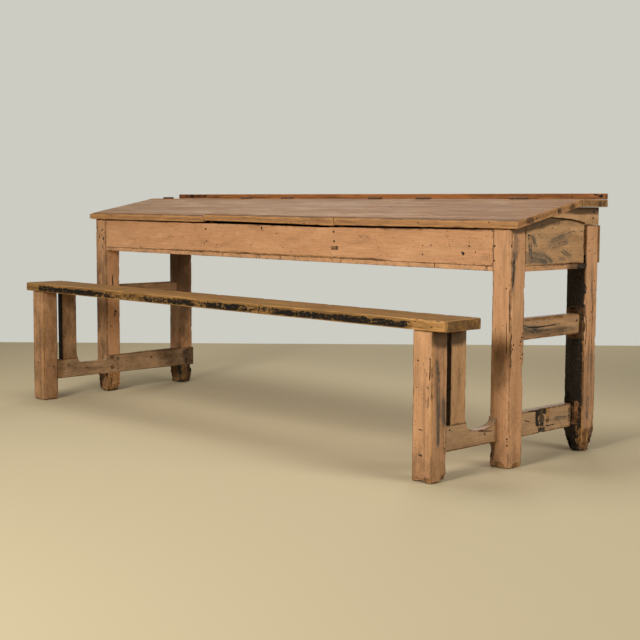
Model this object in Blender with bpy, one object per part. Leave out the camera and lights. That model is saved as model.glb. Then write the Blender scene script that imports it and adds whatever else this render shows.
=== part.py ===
"""A long school desk with a plank bench joined to it by two low side rails.

X runs along the desk, Y from the bench towards the back of the desk, Z up, in metres.
Three lids slope down to the pupils and hinge on a flat shelf. Under them the desk is a shallow box
with a boarded floor and two dividers. The origin is on the floor, in the middle of the footprint.

Inside the script, depths are measured from the front face of the desk legs, and the empty
desk_frame moves everything to the origin. A lid's empty stands on the pins of its hinges.
"""
import math

import bmesh
import bpy

# Fits
SEAT_GAP = 0.0003
CUT_OVERRUN = 0.010
SHRINKAGE_GAP = 0.0012
ARRIS = 0.002
ROUND_STEPS = 24

# Desk as a whole
LEG_SPAN = 2.184
DESK_DEPTH = 0.456
SHELF_HEIGHT = 0.818
LID_FALL = 0.067
HINGE_REACH = 0.318
TOP_OVERHANG_END = 0.029
TOP_OVERHANG_FRONT = 0.018
SHELF_OVERHANG_BACK = 0.006

# Lids and shelf
LID_THICKNESS = 0.0225
LID_NOSE = 0.004
LID_NOSE_STEPS = 4
LID_SPACING = 0.003
MIDDLE_LID_LENGTH = 0.701
SHELF_THICKNESS = 0.025
SHELF_ROUND = 0.004
BATTEN_WIDTH = 0.046
BATTEN_THICKNESS = 0.018
BATTEN_INSET = 0.125
BATTEN_FRONT_MARGIN = 0.098
BATTEN_BACK_MARGIN = 0.030
STRIP_HEIGHT = 0.019
STRIP_DEPTH = 0.022
STRIP_INSET_LEFT = 0.030

# Desk legs
LEG_WIDTH = 0.072
LEG_DEPTH = 0.068
LEG_ARRIS = 0.003
BACK_LEG_DROP = 0.083

# Box under the lids
BOX_DEPTH = 0.204
FLOOR_THICKNESS = 0.016
FLOOR_BOARD_COUNT = 11
LAST_FLOOR_BOARD_SHARE = 0.45
APRON_THICKNESS = 0.022
APRON_INSET = 0.001
APRON_TOP_GAP = 0.003
END_BOARD_THICKNESS = 0.022
END_BOARD_BACK_GAP = 0.012
DIVIDER_THICKNESS = 0.022
BACK_BOARD_THICKNESS = 0.009
BACK_RAIL_THICKNESS = 0.014
BOARD_TENON_SHOULDER = 0.005
BOARD_TENON_LENGTH = 0.026

# Rail between the desk legs, half-way up each end
MID_RAIL_BOTTOM = 0.3865
MID_RAIL_HEIGHT = 0.0655
MID_RAIL_THICKNESS = 0.038
MID_RAIL_INSET = 0.018
RAIL_TENON_SHOULDER = 0.010
RAIL_TENON_LENGTH = 0.032

# Low rail from the bench leg through both desk legs
LOW_RAIL_BOTTOM = 0.079
LOW_RAIL_HEIGHT = 0.0775
LOW_RAIL_THICKNESS = 0.030
LOW_RAIL_STAND_OUT = 0.003
LOW_RAIL_TAIL = 0.006
SCOOP_DEPTH = 0.030
SCOOP_STEPS = 14
SCOOP_SQUARENESS = 2.5

# Bench
BENCH_REACH = 0.325
BENCH_LEG_INSET = 0.026
BENCH_LEG_WIDTH = 0.075
BENCH_LEG_DEPTH = 0.067
SEAT_HEIGHT = 0.474
SEAT_THICKNESS = 0.0335
SEAT_DEPTH = 0.170
SEAT_NOSE = 0.005
SEAT_OVERHANG_END = 0.021
SEAT_ROUND = 0.004
UPRIGHT_GAP = 0.038
UPRIGHT_WIDTH = 0.069
UPRIGHT_FLARE = 0.007
UPRIGHT_FLARE_HEIGHT = 0.032
UPRIGHT_FLARE_STEPS = 5

# Butt hinges
HINGE_LENGTH = 0.068
HINGE_EDGE_GAP = 0.003
LEAF_HEIGHT = 0.018
KNUCKLE_RADIUS = 0.0028
KNUCKLE_COUNT = 5
PIN_RADIUS = 0.0013
HINGE_PLACE_SHARES = {"left": (0.150, 0.828), "middle": (0.153, 0.828), "right": (0.140, 0.676)}

# Worked out from the sizes above
LEG_FACE = LEG_SPAN / 2
LEG_INNER = LEG_FACE - LEG_WIDTH
TOP_END = LEG_FACE + TOP_OVERHANG_END
BACK_LEG_FRONT = DESK_DEPTH - LEG_DEPTH
BACK_LEG_TOP = SHELF_HEIGHT - BACK_LEG_DROP
BOX_FLOOR_TOP = SHELF_HEIGHT - BOX_DEPTH
BOX_BOTTOM = BOX_FLOOR_TOP - FLOOR_THICKNESS
FLOOR_BOARD_WIDTH = LEG_SPAN / (FLOOR_BOARD_COUNT - 1 + LAST_FLOOR_BOARD_SHARE)
LID_BACK_EDGE = HINGE_REACH - HINGE_EDGE_GAP / 2
SHELF_FRONT_EDGE = HINGE_REACH + HINGE_EDGE_GAP / 2
SHELF_BACK_EDGE = DESK_DEPTH + SHELF_OVERHANG_BACK
SHELF_UNDERSIDE = SHELF_HEIGHT - SHELF_THICKNESS
FRONT_HEIGHT = SHELF_HEIGHT - LID_FALL
SLOPE = LID_FALL / (LID_BACK_EDGE + TOP_OVERHANG_FRONT)
SLOPE_ANGLE = math.atan(SLOPE)
PIN_HEIGHT = SHELF_HEIGHT + SEAT_GAP + KNUCKLE_RADIUS
LEAF_THICKNESS = KNUCKLE_RADIUS - HINGE_EDGE_GAP / 2
SEAT_UNDERSIDE = SEAT_HEIGHT - SEAT_THICKNESS
BENCH_LEG_OUTER = LEG_FACE - BENCH_LEG_INSET
BENCH_LEG_BACK = BENCH_LEG_DEPTH - BENCH_REACH
SEAT_FRONT = -BENCH_REACH - SEAT_NOSE
UPRIGHT_FRONT = BENCH_LEG_BACK + UPRIGHT_GAP
UPRIGHT_BACK = UPRIGHT_FRONT + UPRIGHT_WIDTH
UPRIGHT_FOOT_BACK = UPRIGHT_BACK + UPRIGHT_FLARE
LOW_RAIL_TOP = LOW_RAIL_BOTTOM + LOW_RAIL_HEIGHT
LOW_RAIL_INNER = LEG_INNER - LOW_RAIL_STAND_OUT
LOW_RAIL_OUTER = LOW_RAIL_INNER + LOW_RAIL_THICKNESS
LOW_RAIL_END = DESK_DEPTH + LOW_RAIL_TAIL
BACK_BOARD_BACK = DESK_DEPTH + SEAT_GAP + BACK_BOARD_THICKNESS
ORIGIN_SHIFT = -(SEAT_FRONT + max(SHELF_BACK_EDGE, BACK_BOARD_BACK, LOW_RAIL_END)) / 2

SIDES = {"left": -1, "right": 1}


def lid_top(depth):
    """Height of the lids' upper face at a depth."""
    return SHELF_HEIGHT - (LID_BACK_EDGE - depth) * SLOPE


def lid_underside(depth):
    """Height of the lids' lower face at a depth."""
    return lid_top(depth) - LID_THICKNESS / math.cos(SLOPE_ANGLE)


def apron_top():
    """The apron stops short of the lids and leaves a dark line."""
    return lid_underside(APRON_INSET) - APRON_TOP_GAP


def lid_spans():
    """The ends of each lid along X, by name."""
    half = MIDDLE_LID_LENGTH / 2
    return {
        "left": (-TOP_END, -half - LID_SPACING),
        "middle": (-half, half),
        "right": (half + LID_SPACING, TOP_END),
    }


def hinge_places(hand):
    """Middle of each hinge of a lid along X."""
    start, end = lid_spans()[hand]
    return [start + share * (end - start) for share in HINGE_PLACE_SHARES[hand]]


def surface(name, colour, roughness, metallic=0.0):
    """A plain material, wood or paint unless metallic says iron."""
    material = bpy.data.materials.new(name)
    material.use_nodes = True
    shader = material.node_tree.nodes["Principled BSDF"]
    shader.inputs["Base Color"].default_value = (*colour, 1.0)
    shader.inputs["Roughness"].default_value = roughness
    shader.inputs["Metallic"].default_value = metallic
    material.diffuse_color = (*colour, 1.0)
    return material


def empty(name, location, parent=None):
    """A frame to hang pieces on."""
    holder = bpy.data.objects.new(name, None)
    holder.location = location
    holder.parent = parent
    bpy.context.scene.collection.objects.link(holder)
    return holder


def face_outwards(bm):
    """Turns the faces of a solid to point out of it."""
    bm.normal_update()
    if bm.calc_volume(signed=True) < 0:
        bmesh.ops.reverse_faces(bm, faces=bm.faces)


def place(name, bm, material, parent):
    """Makes a named object of a mesh drawn in its parent's frame."""
    face_outwards(bm)
    mesh = bpy.data.meshes.new(name)
    bm.to_mesh(mesh)
    bm.free()
    if material:
        mesh.materials.append(material)
    piece = bpy.data.objects.new(name, mesh)
    piece.parent = parent
    bpy.context.scene.collection.objects.link(piece)
    return piece


def guide(name, bm, parent):
    """A shape that only cuts or joins other pieces."""
    tool = place(name, bm, None, parent)
    tool.hide_render = True
    tool.display_type = "WIRE"
    return tool


def boolean(piece, tool, operation="DIFFERENCE"):
    modifier = piece.modifiers.new(tool.name, "BOOLEAN")
    modifier.solver = "EXACT"
    modifier.operation = operation
    modifier.object = tool


def shade_round(piece):
    """Smooth shading on the round faces. The ends and hard edges stay crisp."""
    piece.data.shade_smooth()
    piece.data.set_sharp_from_angle(angle=math.radians(40))
    for face in piece.data.polygons:
        if len(face.vertices) > 4:
            face.use_smooth = False
    return piece


def ordered(low, high, clearance=0.0):
    """The corners of a box in rising order, with clearance all round."""
    return (
        [min(a, b) - clearance for a, b in zip(low, high)],
        [max(a, b) + clearance for a, b in zip(low, high)],
    )


def at_end(side, low, high, clearance=0.0):
    """A box described at the right-hand end, for either end."""
    return ordered((side * low[0], low[1], low[2]), (side * high[0], high[1], high[2]), clearance)


def add_box(bm, low, high):
    """Adds a box between two corners and returns its points."""
    points = [bm.verts.new((x, y, z)) for x in (low[0], high[0]) for y in (low[1], high[1]) for z in (low[2], high[2])]
    for corners in ((0, 1, 3, 2), (4, 6, 7, 5), (0, 4, 5, 1), (2, 3, 7, 6), (0, 2, 6, 4), (1, 5, 7, 3)):
        bm.faces.new([points[i] for i in corners])
    return points


def add_prism(bm, outline, start, end):
    """Adds a board sawn to an outline of depths and heights, between two places along X."""
    near = [bm.verts.new((start, y, z)) for y, z in outline]
    far = [bm.verts.new((end, y, z)) for y, z in outline]
    bm.faces.new(near)
    bm.faces.new(list(reversed(far)))
    for i in range(len(outline)):
        j = (i + 1) % len(outline)
        bm.faces.new((near[j], near[i], far[i], far[j]))


def box_mesh(low, high):
    bm = bmesh.new()
    add_box(bm, *ordered(low, high))
    return bm


def prism_mesh(outline, start, end):
    bm = bmesh.new()
    add_prism(bm, outline, start, end)
    return bm


def ease(bm, width, keep=None, steps=1):
    """Takes the sharpness off the outer edges that keep accepts."""
    face_outwards(bm)
    edges = [edge for edge in bm.edges if edge.is_convex and edge.calc_face_angle(0) > math.radians(30)]
    if keep:
        edges = [edge for edge in edges if keep(edge)]
    bmesh.ops.bevel(bm, geom=edges, offset=width, segments=steps, profile=0.5, affect="EDGES", clamp_overlap=True)


def along(axis):
    """Accepts the edges that run along an axis."""
    def accepts(edge):
        step = edge.verts[1].co - edge.verts[0].co
        return abs(step[axis]) > 0.9 * step.length
    return accepts


def between(axis, low, high):
    """Accepts the edges across X that don't lie in the end faces at low and high."""
    def accepts(edge):
        reach = [vert.co[axis] for vert in edge.verts]
        return not along(0)(edge) and max(reach) > low + SEAT_GAP and min(reach) < high - SEAT_GAP
    return accepts


def box_guide(name, boxes, parent):
    bm = bmesh.new()
    for low, high in boxes:
        add_box(bm, low, high)
    return guide(name, bm, parent)


def apron_tenon(side, clearance=0.0):
    """Where the front apron enters a front leg."""
    low = (LEG_INNER - CUT_OVERRUN, APRON_INSET + BOARD_TENON_SHOULDER, BOX_FLOOR_TOP + BOARD_TENON_SHOULDER)
    high = (
        LEG_INNER + BOARD_TENON_LENGTH,
        APRON_INSET + APRON_THICKNESS - BOARD_TENON_SHOULDER,
        apron_top() - BOARD_TENON_SHOULDER,
    )
    return at_end(side, low, high, clearance)


def end_board_tenon(side, clearance=0.0):
    """Where an end board enters the back of a front leg."""
    tip = LEG_DEPTH - BOARD_TENON_LENGTH
    inner = LEG_FACE - END_BOARD_THICKNESS + BOARD_TENON_SHOULDER
    low = (inner, tip, BOX_FLOOR_TOP + BOARD_TENON_SHOULDER)
    high = (LEG_FACE - BOARD_TENON_SHOULDER, LEG_DEPTH + CUT_OVERRUN, lid_underside(tip) - BOARD_TENON_SHOULDER)
    return at_end(side, low, high, clearance)


def mid_rail_tenon(side, face, into, clearance=0.0):
    """Where the half-way rail enters a desk leg through the face at a depth."""
    inner = LEG_FACE - MID_RAIL_INSET - MID_RAIL_THICKNESS + RAIL_TENON_SHOULDER
    outer = LEG_FACE - MID_RAIL_INSET - RAIL_TENON_SHOULDER
    low = (inner, face - into * CUT_OVERRUN, MID_RAIL_BOTTOM + RAIL_TENON_SHOULDER)
    high = (outer, face + into * RAIL_TENON_LENGTH, MID_RAIL_BOTTOM + MID_RAIL_HEIGHT - RAIL_TENON_SHOULDER)
    return at_end(side, low, high, clearance)


def low_rail_tenon(side, clearance=0.0):
    """Where a low rail enters the back of a bench leg."""
    low = (
        LOW_RAIL_INNER + RAIL_TENON_SHOULDER,
        BENCH_LEG_BACK - RAIL_TENON_LENGTH,
        LOW_RAIL_BOTTOM + RAIL_TENON_SHOULDER,
    )
    high = (
        LOW_RAIL_OUTER - RAIL_TENON_SHOULDER,
        BENCH_LEG_BACK + CUT_OVERRUN,
        LOW_RAIL_TOP - RAIL_TENON_SHOULDER,
    )
    return at_end(side, low, high, clearance)


def upright_tenon(side, clearance=0.0):
    """Where an upright enters the top of a low rail."""
    low = (
        LOW_RAIL_INNER + RAIL_TENON_SHOULDER,
        UPRIGHT_FRONT + RAIL_TENON_SHOULDER,
        LOW_RAIL_TOP - RAIL_TENON_LENGTH,
    )
    high = (
        LOW_RAIL_OUTER - RAIL_TENON_SHOULDER,
        UPRIGHT_BACK - RAIL_TENON_SHOULDER,
        LOW_RAIL_TOP + CUT_OVERRUN,
    )
    return at_end(side, low, high, clearance)


def rail_housing(side, front, back):
    """The slot on the inner face of a desk leg that takes the low rail."""
    low = (LEG_INNER - CUT_OVERRUN, front - CUT_OVERRUN, LOW_RAIL_BOTTOM)
    high = (LOW_RAIL_OUTER, back + CUT_OVERRUN, LOW_RAIL_TOP)
    return at_end(side, low, high, SEAT_GAP)


def foot_and_sides(edge):
    """Accepts a leg's upright edges and the edges of its foot."""
    return along(2)(edge) or max(vert.co.z for vert in edge.verts) < LOW_RAIL_BOTTOM


def desk_legs(frame):
    """Four square legs. The front pair is cut to the slope of the lids."""
    paint = surface("leg_paint", (0.56, 0.31, 0.19), 0.6)
    for hand, side in SIDES.items():
        for row, front in (("front", 0.0), ("back", BACK_LEG_FRONT)):
            back = front + LEG_DEPTH
            bm = box_mesh((side * LEG_INNER, front, 0.0), (side * LEG_FACE, back, BACK_LEG_TOP))
            if row == "front":
                for point in bm.verts:
                    if point.co.z > 0:
                        point.co.z = lid_underside(point.co.y) - SEAT_GAP
                cuts = [
                    apron_tenon(side, SEAT_GAP),
                    end_board_tenon(side, SEAT_GAP),
                    mid_rail_tenon(side, back, -1, SEAT_GAP),
                ]
            else:
                cuts = [mid_rail_tenon(side, front, 1, SEAT_GAP)]
            cuts.append(rail_housing(side, front, back))
            ease(bm, LEG_ARRIS, foot_and_sides, steps=2)
            leg = place(f"desk_leg_{row}_{hand}", bm, paint, frame)
            boolean(leg, box_guide(f"leg_cuts_{row}_{hand}", cuts, frame))


def front_apron(frame):
    """The board along the front, tenoned into the front legs."""
    paint = surface("apron_paint", (0.60, 0.33, 0.20), 0.55)
    reach = LEG_INNER - SEAT_GAP
    low = (-reach, APRON_INSET, BOX_FLOOR_TOP + SEAT_GAP)
    bm = box_mesh(low, (reach, APRON_INSET + APRON_THICKNESS, apron_top()))
    ease(bm, ARRIS, along(0))
    apron = place("front_apron", bm, paint, frame)
    tenons = [apron_tenon(side) for side in SIDES.values()]
    boolean(apron, box_guide("apron_tenons", tenons, frame), "UNION")


def sloped_top(front):
    """The upper outline of a board under the lids, from the shelf's front edge to a depth."""
    rise = lid_underside(LID_BACK_EDGE) - SHELF_UNDERSIDE
    meeting = LID_BACK_EDGE - max(0.0, rise / SLOPE)
    return [
        (SHELF_FRONT_EDGE, SHELF_UNDERSIDE - SEAT_GAP),
        (meeting, min(lid_underside(meeting), SHELF_UNDERSIDE) - SEAT_GAP),
        (front, lid_underside(front) - SEAT_GAP),
    ]


def end_boards(frame):
    """The slope-topped boards that close the box, each notched over its back leg."""
    paint = surface("end_board_paint", (0.46, 0.30, 0.20), 0.6)
    front = LEG_DEPTH + SEAT_GAP
    notch = BACK_LEG_FRONT - END_BOARD_BACK_GAP
    bottom = BOX_FLOOR_TOP + SEAT_GAP
    shoulder = BACK_LEG_TOP + SEAT_GAP
    outline = [
        (front, bottom),
        (notch, bottom),
        (notch, shoulder),
        (DESK_DEPTH, shoulder),
        (DESK_DEPTH, SHELF_UNDERSIDE - SEAT_GAP),
        *sloped_top(front),
    ]
    for hand, side in SIDES.items():
        bm = prism_mesh(outline, side * (LEG_FACE - END_BOARD_THICKNESS), side * LEG_FACE)
        board = place(f"end_board_{hand}", bm, paint, frame)
        boolean(board, box_guide(f"end_board_tenon_{hand}", [end_board_tenon(side)], frame), "UNION")


def dividers(frame):
    """The two boards under the seams of the lids, cut to the slope like the end boards."""
    bare = surface("divider_wood", (0.36, 0.22, 0.13), 0.75)
    front = APRON_INSET + APRON_THICKNESS + SEAT_GAP
    bottom = BOX_FLOOR_TOP + SEAT_GAP
    rail_front = DESK_DEPTH - BACK_RAIL_THICKNESS - SEAT_GAP
    outline = [
        (front, bottom),
        (DESK_DEPTH, bottom),
        (DESK_DEPTH, BACK_LEG_TOP),
        (rail_front, BACK_LEG_TOP),
        (rail_front, SHELF_UNDERSIDE - SEAT_GAP),
        *sloped_top(front),
    ]
    seam = (MIDDLE_LID_LENGTH + LID_SPACING) / 2
    for hand, side in SIDES.items():
        near = side * seam - DIVIDER_THICKNESS / 2
        place(f"divider_{hand}", prism_mesh(outline, near, near + DIVIDER_THICKNESS), bare, frame)


def back_boards(frame):
    """The board nailed behind the back legs, and the rail between the end boards above it."""
    bare = surface("back_board_wood", (0.38, 0.25, 0.16), 0.75)
    bm = box_mesh((-LEG_FACE, DESK_DEPTH + SEAT_GAP, BOX_FLOOR_TOP), (LEG_FACE, BACK_BOARD_BACK, BACK_LEG_TOP))
    ease(bm, ARRIS)
    place("back_board", bm, bare, frame)

    reach = LEG_FACE - END_BOARD_THICKNESS - SEAT_GAP
    low = (-reach, DESK_DEPTH - BACK_RAIL_THICKNESS, BACK_LEG_TOP + SEAT_GAP)
    bm = box_mesh(low, (reach, DESK_DEPTH, SHELF_UNDERSIDE - SEAT_GAP))
    ease(bm, ARRIS, along(0))
    place("back_rail", bm, surface("back_rail_wood", (0.37, 0.24, 0.15), 0.75), frame)


def floor_boards(frame):
    """Short boards laid front to back under the box, the outer two notched round the legs."""
    paint = surface("floor_paint", (0.55, 0.32, 0.20), 0.65)
    corner = LEG_INNER - SEAT_GAP
    for number in range(FLOOR_BOARD_COUNT):
        start = number * FLOOR_BOARD_WIDTH - LEG_FACE
        end = min(start + FLOOR_BOARD_WIDTH - SHRINKAGE_GAP, LEG_FACE)
        bm = box_mesh((start, 0.0, BOX_BOTTOM), (end, DESK_DEPTH, BOX_FLOOR_TOP))
        ease(bm, ARRIS / 2, along(1))
        board = place(f"floor_board_{number + 1}", bm, paint, frame)
        for hand, side in SIDES.items():
            if max(side * start, side * end) > corner:
                outside = LEG_FACE + CUT_OVERRUN
                below = BOX_BOTTOM - CUT_OVERRUN
                above = BOX_FLOOR_TOP + CUT_OVERRUN
                notches = [
                    at_end(side, (corner, -CUT_OVERRUN, below), (outside, LEG_DEPTH + SEAT_GAP, above)),
                    at_end(side, (corner, BACK_LEG_FRONT - SEAT_GAP, below), (outside, DESK_DEPTH + CUT_OVERRUN, above)),
                ]
                boolean(board, box_guide(f"floor_notches_{number + 1}_{hand}", notches, frame))


def mid_rails(frame):
    """The rail between the desk legs at each end, tenoned both ways."""
    paint = surface("mid_rail_paint", (0.48, 0.29, 0.18), 0.6)
    outer = LEG_FACE - MID_RAIL_INSET
    low = (outer - MID_RAIL_THICKNESS, LEG_DEPTH + SEAT_GAP, MID_RAIL_BOTTOM)
    high = (outer, BACK_LEG_FRONT - SEAT_GAP, MID_RAIL_BOTTOM + MID_RAIL_HEIGHT)
    for hand, side in SIDES.items():
        bm = box_mesh(*at_end(side, low, high))
        ease(bm, LEG_ARRIS, along(1), steps=2)
        rail = place(f"mid_rail_{hand}", bm, paint, frame)
        tenons = [mid_rail_tenon(side, LEG_DEPTH, -1), mid_rail_tenon(side, BACK_LEG_FRONT, 1)]
        boolean(rail, box_guide(f"mid_rail_tenons_{hand}", tenons, frame), "UNION")


def scoop_outline():
    """The hollow in a low rail's top, steep at both ends and nearly flat between."""
    points = []
    half = UPRIGHT_FOOT_BACK / 2
    power = 2 / SCOOP_SQUARENESS
    for step in range(SCOOP_STEPS + 1):
        turn = math.pi * step / SCOOP_STEPS
        reach = math.copysign(abs(math.cos(turn)) ** power, math.cos(turn))
        points.append((half * (1 + reach), LOW_RAIL_TOP - SCOOP_DEPTH * abs(math.sin(turn)) ** power))
    return points


def low_rails(frame):
    """The long rail at each end: tenoned into the bench leg, scooped, and housed in both desk legs."""
    paint = surface("low_rail_paint", (0.50, 0.29, 0.18), 0.6)
    front = BENCH_LEG_BACK + SEAT_GAP
    outline = [
        (front, LOW_RAIL_BOTTOM),
        (front, LOW_RAIL_TOP),
        *scoop_outline(),
        (LOW_RAIL_END, LOW_RAIL_TOP),
        (LOW_RAIL_END, LOW_RAIL_BOTTOM),
    ]
    for hand, side in SIDES.items():
        bm = prism_mesh(outline, side * LOW_RAIL_INNER, side * LOW_RAIL_OUTER)
        ease(bm, ARRIS, between(1, front, LOW_RAIL_END))
        rail = place(f"low_rail_{hand}", bm, paint, frame)
        boolean(rail, box_guide(f"low_rail_tenon_{hand}", [low_rail_tenon(side)], frame), "UNION")
        boolean(rail, box_guide(f"upright_mortise_{hand}", [upright_tenon(side, SEAT_GAP)], frame))


def bench_legs(frame):
    """The two legs under the front of the seat, mortised for the low rails."""
    paint = surface("bench_leg_paint", (0.57, 0.33, 0.20), 0.6)
    low = (BENCH_LEG_OUTER - BENCH_LEG_WIDTH, -BENCH_REACH, 0.0)
    high = (BENCH_LEG_OUTER, BENCH_LEG_BACK, SEAT_UNDERSIDE - SEAT_GAP)
    for hand, side in SIDES.items():
        bm = box_mesh(*at_end(side, low, high))
        ease(bm, LEG_ARRIS, foot_and_sides, steps=2)
        leg = place(f"bench_leg_{hand}", bm, paint, frame)
        boolean(leg, box_guide(f"bench_mortise_{hand}", [low_rail_tenon(side, SEAT_GAP)], frame))


def bench_uprights(frame):
    """The boards on the low rails that carry the back of the seat, each flared at its foot."""
    paint = surface("upright_paint", (0.55, 0.32, 0.20), 0.6)
    top = SEAT_UNDERSIDE - SEAT_GAP
    foot = LOW_RAIL_TOP + SEAT_GAP
    outline = [(UPRIGHT_FRONT, foot), (UPRIGHT_FRONT, top), (UPRIGHT_BACK, top)]
    for step in range(UPRIGHT_FLARE_STEPS + 1):
        turn = math.pi / 2 * step / UPRIGHT_FLARE_STEPS
        depth = UPRIGHT_BACK + UPRIGHT_FLARE * (1 - math.cos(turn))
        outline.append((depth, foot + UPRIGHT_FLARE_HEIGHT * (1 - math.sin(turn))))
    for hand, side in SIDES.items():
        bm = prism_mesh(outline, side * LOW_RAIL_INNER, side * LOW_RAIL_OUTER)
        ease(bm, ARRIS, between(2, foot, top))
        upright = place(f"bench_upright_{hand}", bm, paint, frame)
        boolean(upright, box_guide(f"upright_tenon_{hand}", [upright_tenon(side)], frame), "UNION")


def bench_seat(frame):
    """The plank that the pupils sit on."""
    bare = surface("seat_wood", (0.42, 0.25, 0.12), 0.5)
    reach = LEG_FACE + SEAT_OVERHANG_END
    bm = box_mesh((-reach, SEAT_FRONT, SEAT_UNDERSIDE), (reach, SEAT_FRONT + SEAT_DEPTH, SEAT_HEIGHT))
    ease(bm, SEAT_ROUND, steps=3)
    place("bench_seat", bm, bare, frame)


def leaf_bed(middle, edge, into):
    """The shallow bed for a hinge leaf, open at a board's edge and top."""
    half = HINGE_LENGTH / 2
    low = (middle - half, edge, SHELF_HEIGHT - LEAF_HEIGHT)
    high = (middle + half, edge + into * LEAF_THICKNESS, SHELF_HEIGHT + CUT_OVERRUN)
    low, high = ordered(low, high, SEAT_GAP)
    if into > 0:
        low[1] = edge - HINGE_EDGE_GAP
    else:
        high[1] = edge + HINGE_EDGE_GAP
    return low, high


def shelf(frame):
    """The flat board behind the lids, with the strip along its back edge."""
    bare = surface("shelf_wood", (0.36, 0.27, 0.21), 0.6)
    bm = box_mesh((-TOP_END, SHELF_FRONT_EDGE, SHELF_UNDERSIDE), (TOP_END, SHELF_BACK_EDGE, SHELF_HEIGHT))
    ease(bm, SHELF_ROUND, lambda edge: min(vert.co.y for vert in edge.verts) > DESK_DEPTH, steps=2)
    board = place("shelf", bm, bare, frame)
    beds = [leaf_bed(middle, SHELF_FRONT_EDGE, 1) for hand in lid_spans() for middle in hinge_places(hand)]
    boolean(board, box_guide("shelf_leaf_beds", beds, frame))

    stained = surface("strip_wood", (0.22, 0.09, 0.05), 0.6)
    low = (STRIP_INSET_LEFT - TOP_END, SHELF_BACK_EDGE - STRIP_DEPTH, SHELF_HEIGHT + SEAT_GAP)
    bm = box_mesh(low, (TOP_END, SHELF_BACK_EDGE, SHELF_HEIGHT + STRIP_HEIGHT))
    ease(bm, ARRIS, lambda edge: max(vert.co.z for vert in edge.verts) > SHELF_HEIGHT + STRIP_HEIGHT / 2)
    place("rear_strip", bm, stained, frame)


def lid_outline():
    """A lid seen from the end: parallel faces, a rounded front edge and an upright back edge."""
    run, rise = math.cos(SLOPE_ANGLE), math.sin(SLOPE_ANGLE)
    nose = min(LID_NOSE, LID_THICKNESS / 3)

    def point(inward, down):
        return (inward * run + down * rise - TOP_OVERHANG_FRONT, FRONT_HEIGHT + inward * rise - down * run)

    points = [(LID_BACK_EDGE, lid_underside(LID_BACK_EDGE)), (LID_BACK_EDGE, SHELF_HEIGHT)]
    turns = [math.pi / 2 * step / LID_NOSE_STEPS for step in range(LID_NOSE_STEPS + 1)]
    for turn in turns:
        points.append(point(nose * (1 - math.sin(turn)), nose * (1 - math.cos(turn))))
    for turn in turns:
        points.append(point(nose * (1 - math.cos(turn)), LID_THICKNESS - nose * (1 - math.sin(turn))))
    return points


def batten_outline():
    """A batten seen from the end of the lid, with sloped ends."""
    front = BATTEN_FRONT_MARGIN - TOP_OVERHANG_FRONT
    back = LID_BACK_EDGE - BATTEN_BACK_MARGIN
    drop = BATTEN_THICKNESS / math.cos(SLOPE_ANGLE)
    return [
        (front, lid_underside(front) - SEAT_GAP),
        (back, lid_underside(back) - SEAT_GAP),
        (back - BATTEN_THICKNESS, lid_underside(back - BATTEN_THICKNESS) - drop),
        (front + BATTEN_THICKNESS, lid_underside(front + BATTEN_THICKNESS) - drop),
    ]


def hang(name, bm, material, axis):
    """Places a mesh drawn in the desk's frame on a hinge axis."""
    bmesh.ops.translate(bm, verts=bm.verts, vec=-axis.location)
    return place(name, bm, material, axis)


def lids(frame):
    """The three lids, each on an empty that stands on its hinge pins, with two battens under it."""
    bare = surface("lid_wood", (0.38, 0.27, 0.21), 0.6)
    inside = surface("batten_wood", (0.40, 0.26, 0.16), 0.75)
    axes = {}
    for hand, (start, end) in lid_spans().items():
        axes[hand] = empty(f"lid_{hand}_axis", (0.0, HINGE_REACH, PIN_HEIGHT), frame)
        lid = hang(f"lid_{hand}", prism_mesh(lid_outline(), start, end), bare, axes[hand])
        beds = [leaf_bed(middle, LID_BACK_EDGE, -1) for middle in hinge_places(hand)]
        boolean(lid, box_guide(f"lid_leaf_beds_{hand}", beds, frame))
        for number, near in enumerate((start + BATTEN_INSET, end - BATTEN_INSET - BATTEN_WIDTH)):
            bm = prism_mesh(batten_outline(), near, near + BATTEN_WIDTH)
            hang(f"lid_batten_{hand}_{number + 1}", bm, inside, axes[hand])
    return axes


def knuckle_spans(middle):
    """The stretches of a hinge's length that its knuckles take, from left to right."""
    pitch = (HINGE_LENGTH + SEAT_GAP) / KNUCKLE_COUNT
    first = middle - HINGE_LENGTH / 2
    return [(first + i * pitch, first + (i + 1) * pitch - SEAT_GAP) for i in range(KNUCKLE_COUNT)]


def knuckle_outline(into):
    """A knuckle seen from the end: the leaf's plate rises and rolls round the pin."""
    foot = SHELF_HEIGHT - LEAF_HEIGHT / 2
    inner = HINGE_EDGE_GAP / 2
    last = 2 * math.pi - math.acos(inner / KNUCKLE_RADIUS)
    points = [(HINGE_REACH + into * KNUCKLE_RADIUS, foot)]
    for step in range(ROUND_STEPS + 1):
        turn = last * step / ROUND_STEPS
        depth = HINGE_REACH + into * KNUCKLE_RADIUS * math.cos(turn)
        points.append((depth, PIN_HEIGHT + KNUCKLE_RADIUS * math.sin(turn)))
    points.append((HINGE_REACH + into * inner, foot))
    return points


def rod_outline(radius):
    """A round rod on the hinge line, seen from the end."""
    turns = [2 * math.pi * step / ROUND_STEPS for step in range(ROUND_STEPS)]
    return [(HINGE_REACH + radius * math.cos(turn), PIN_HEIGHT + radius * math.sin(turn)) for turn in turns]


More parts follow.
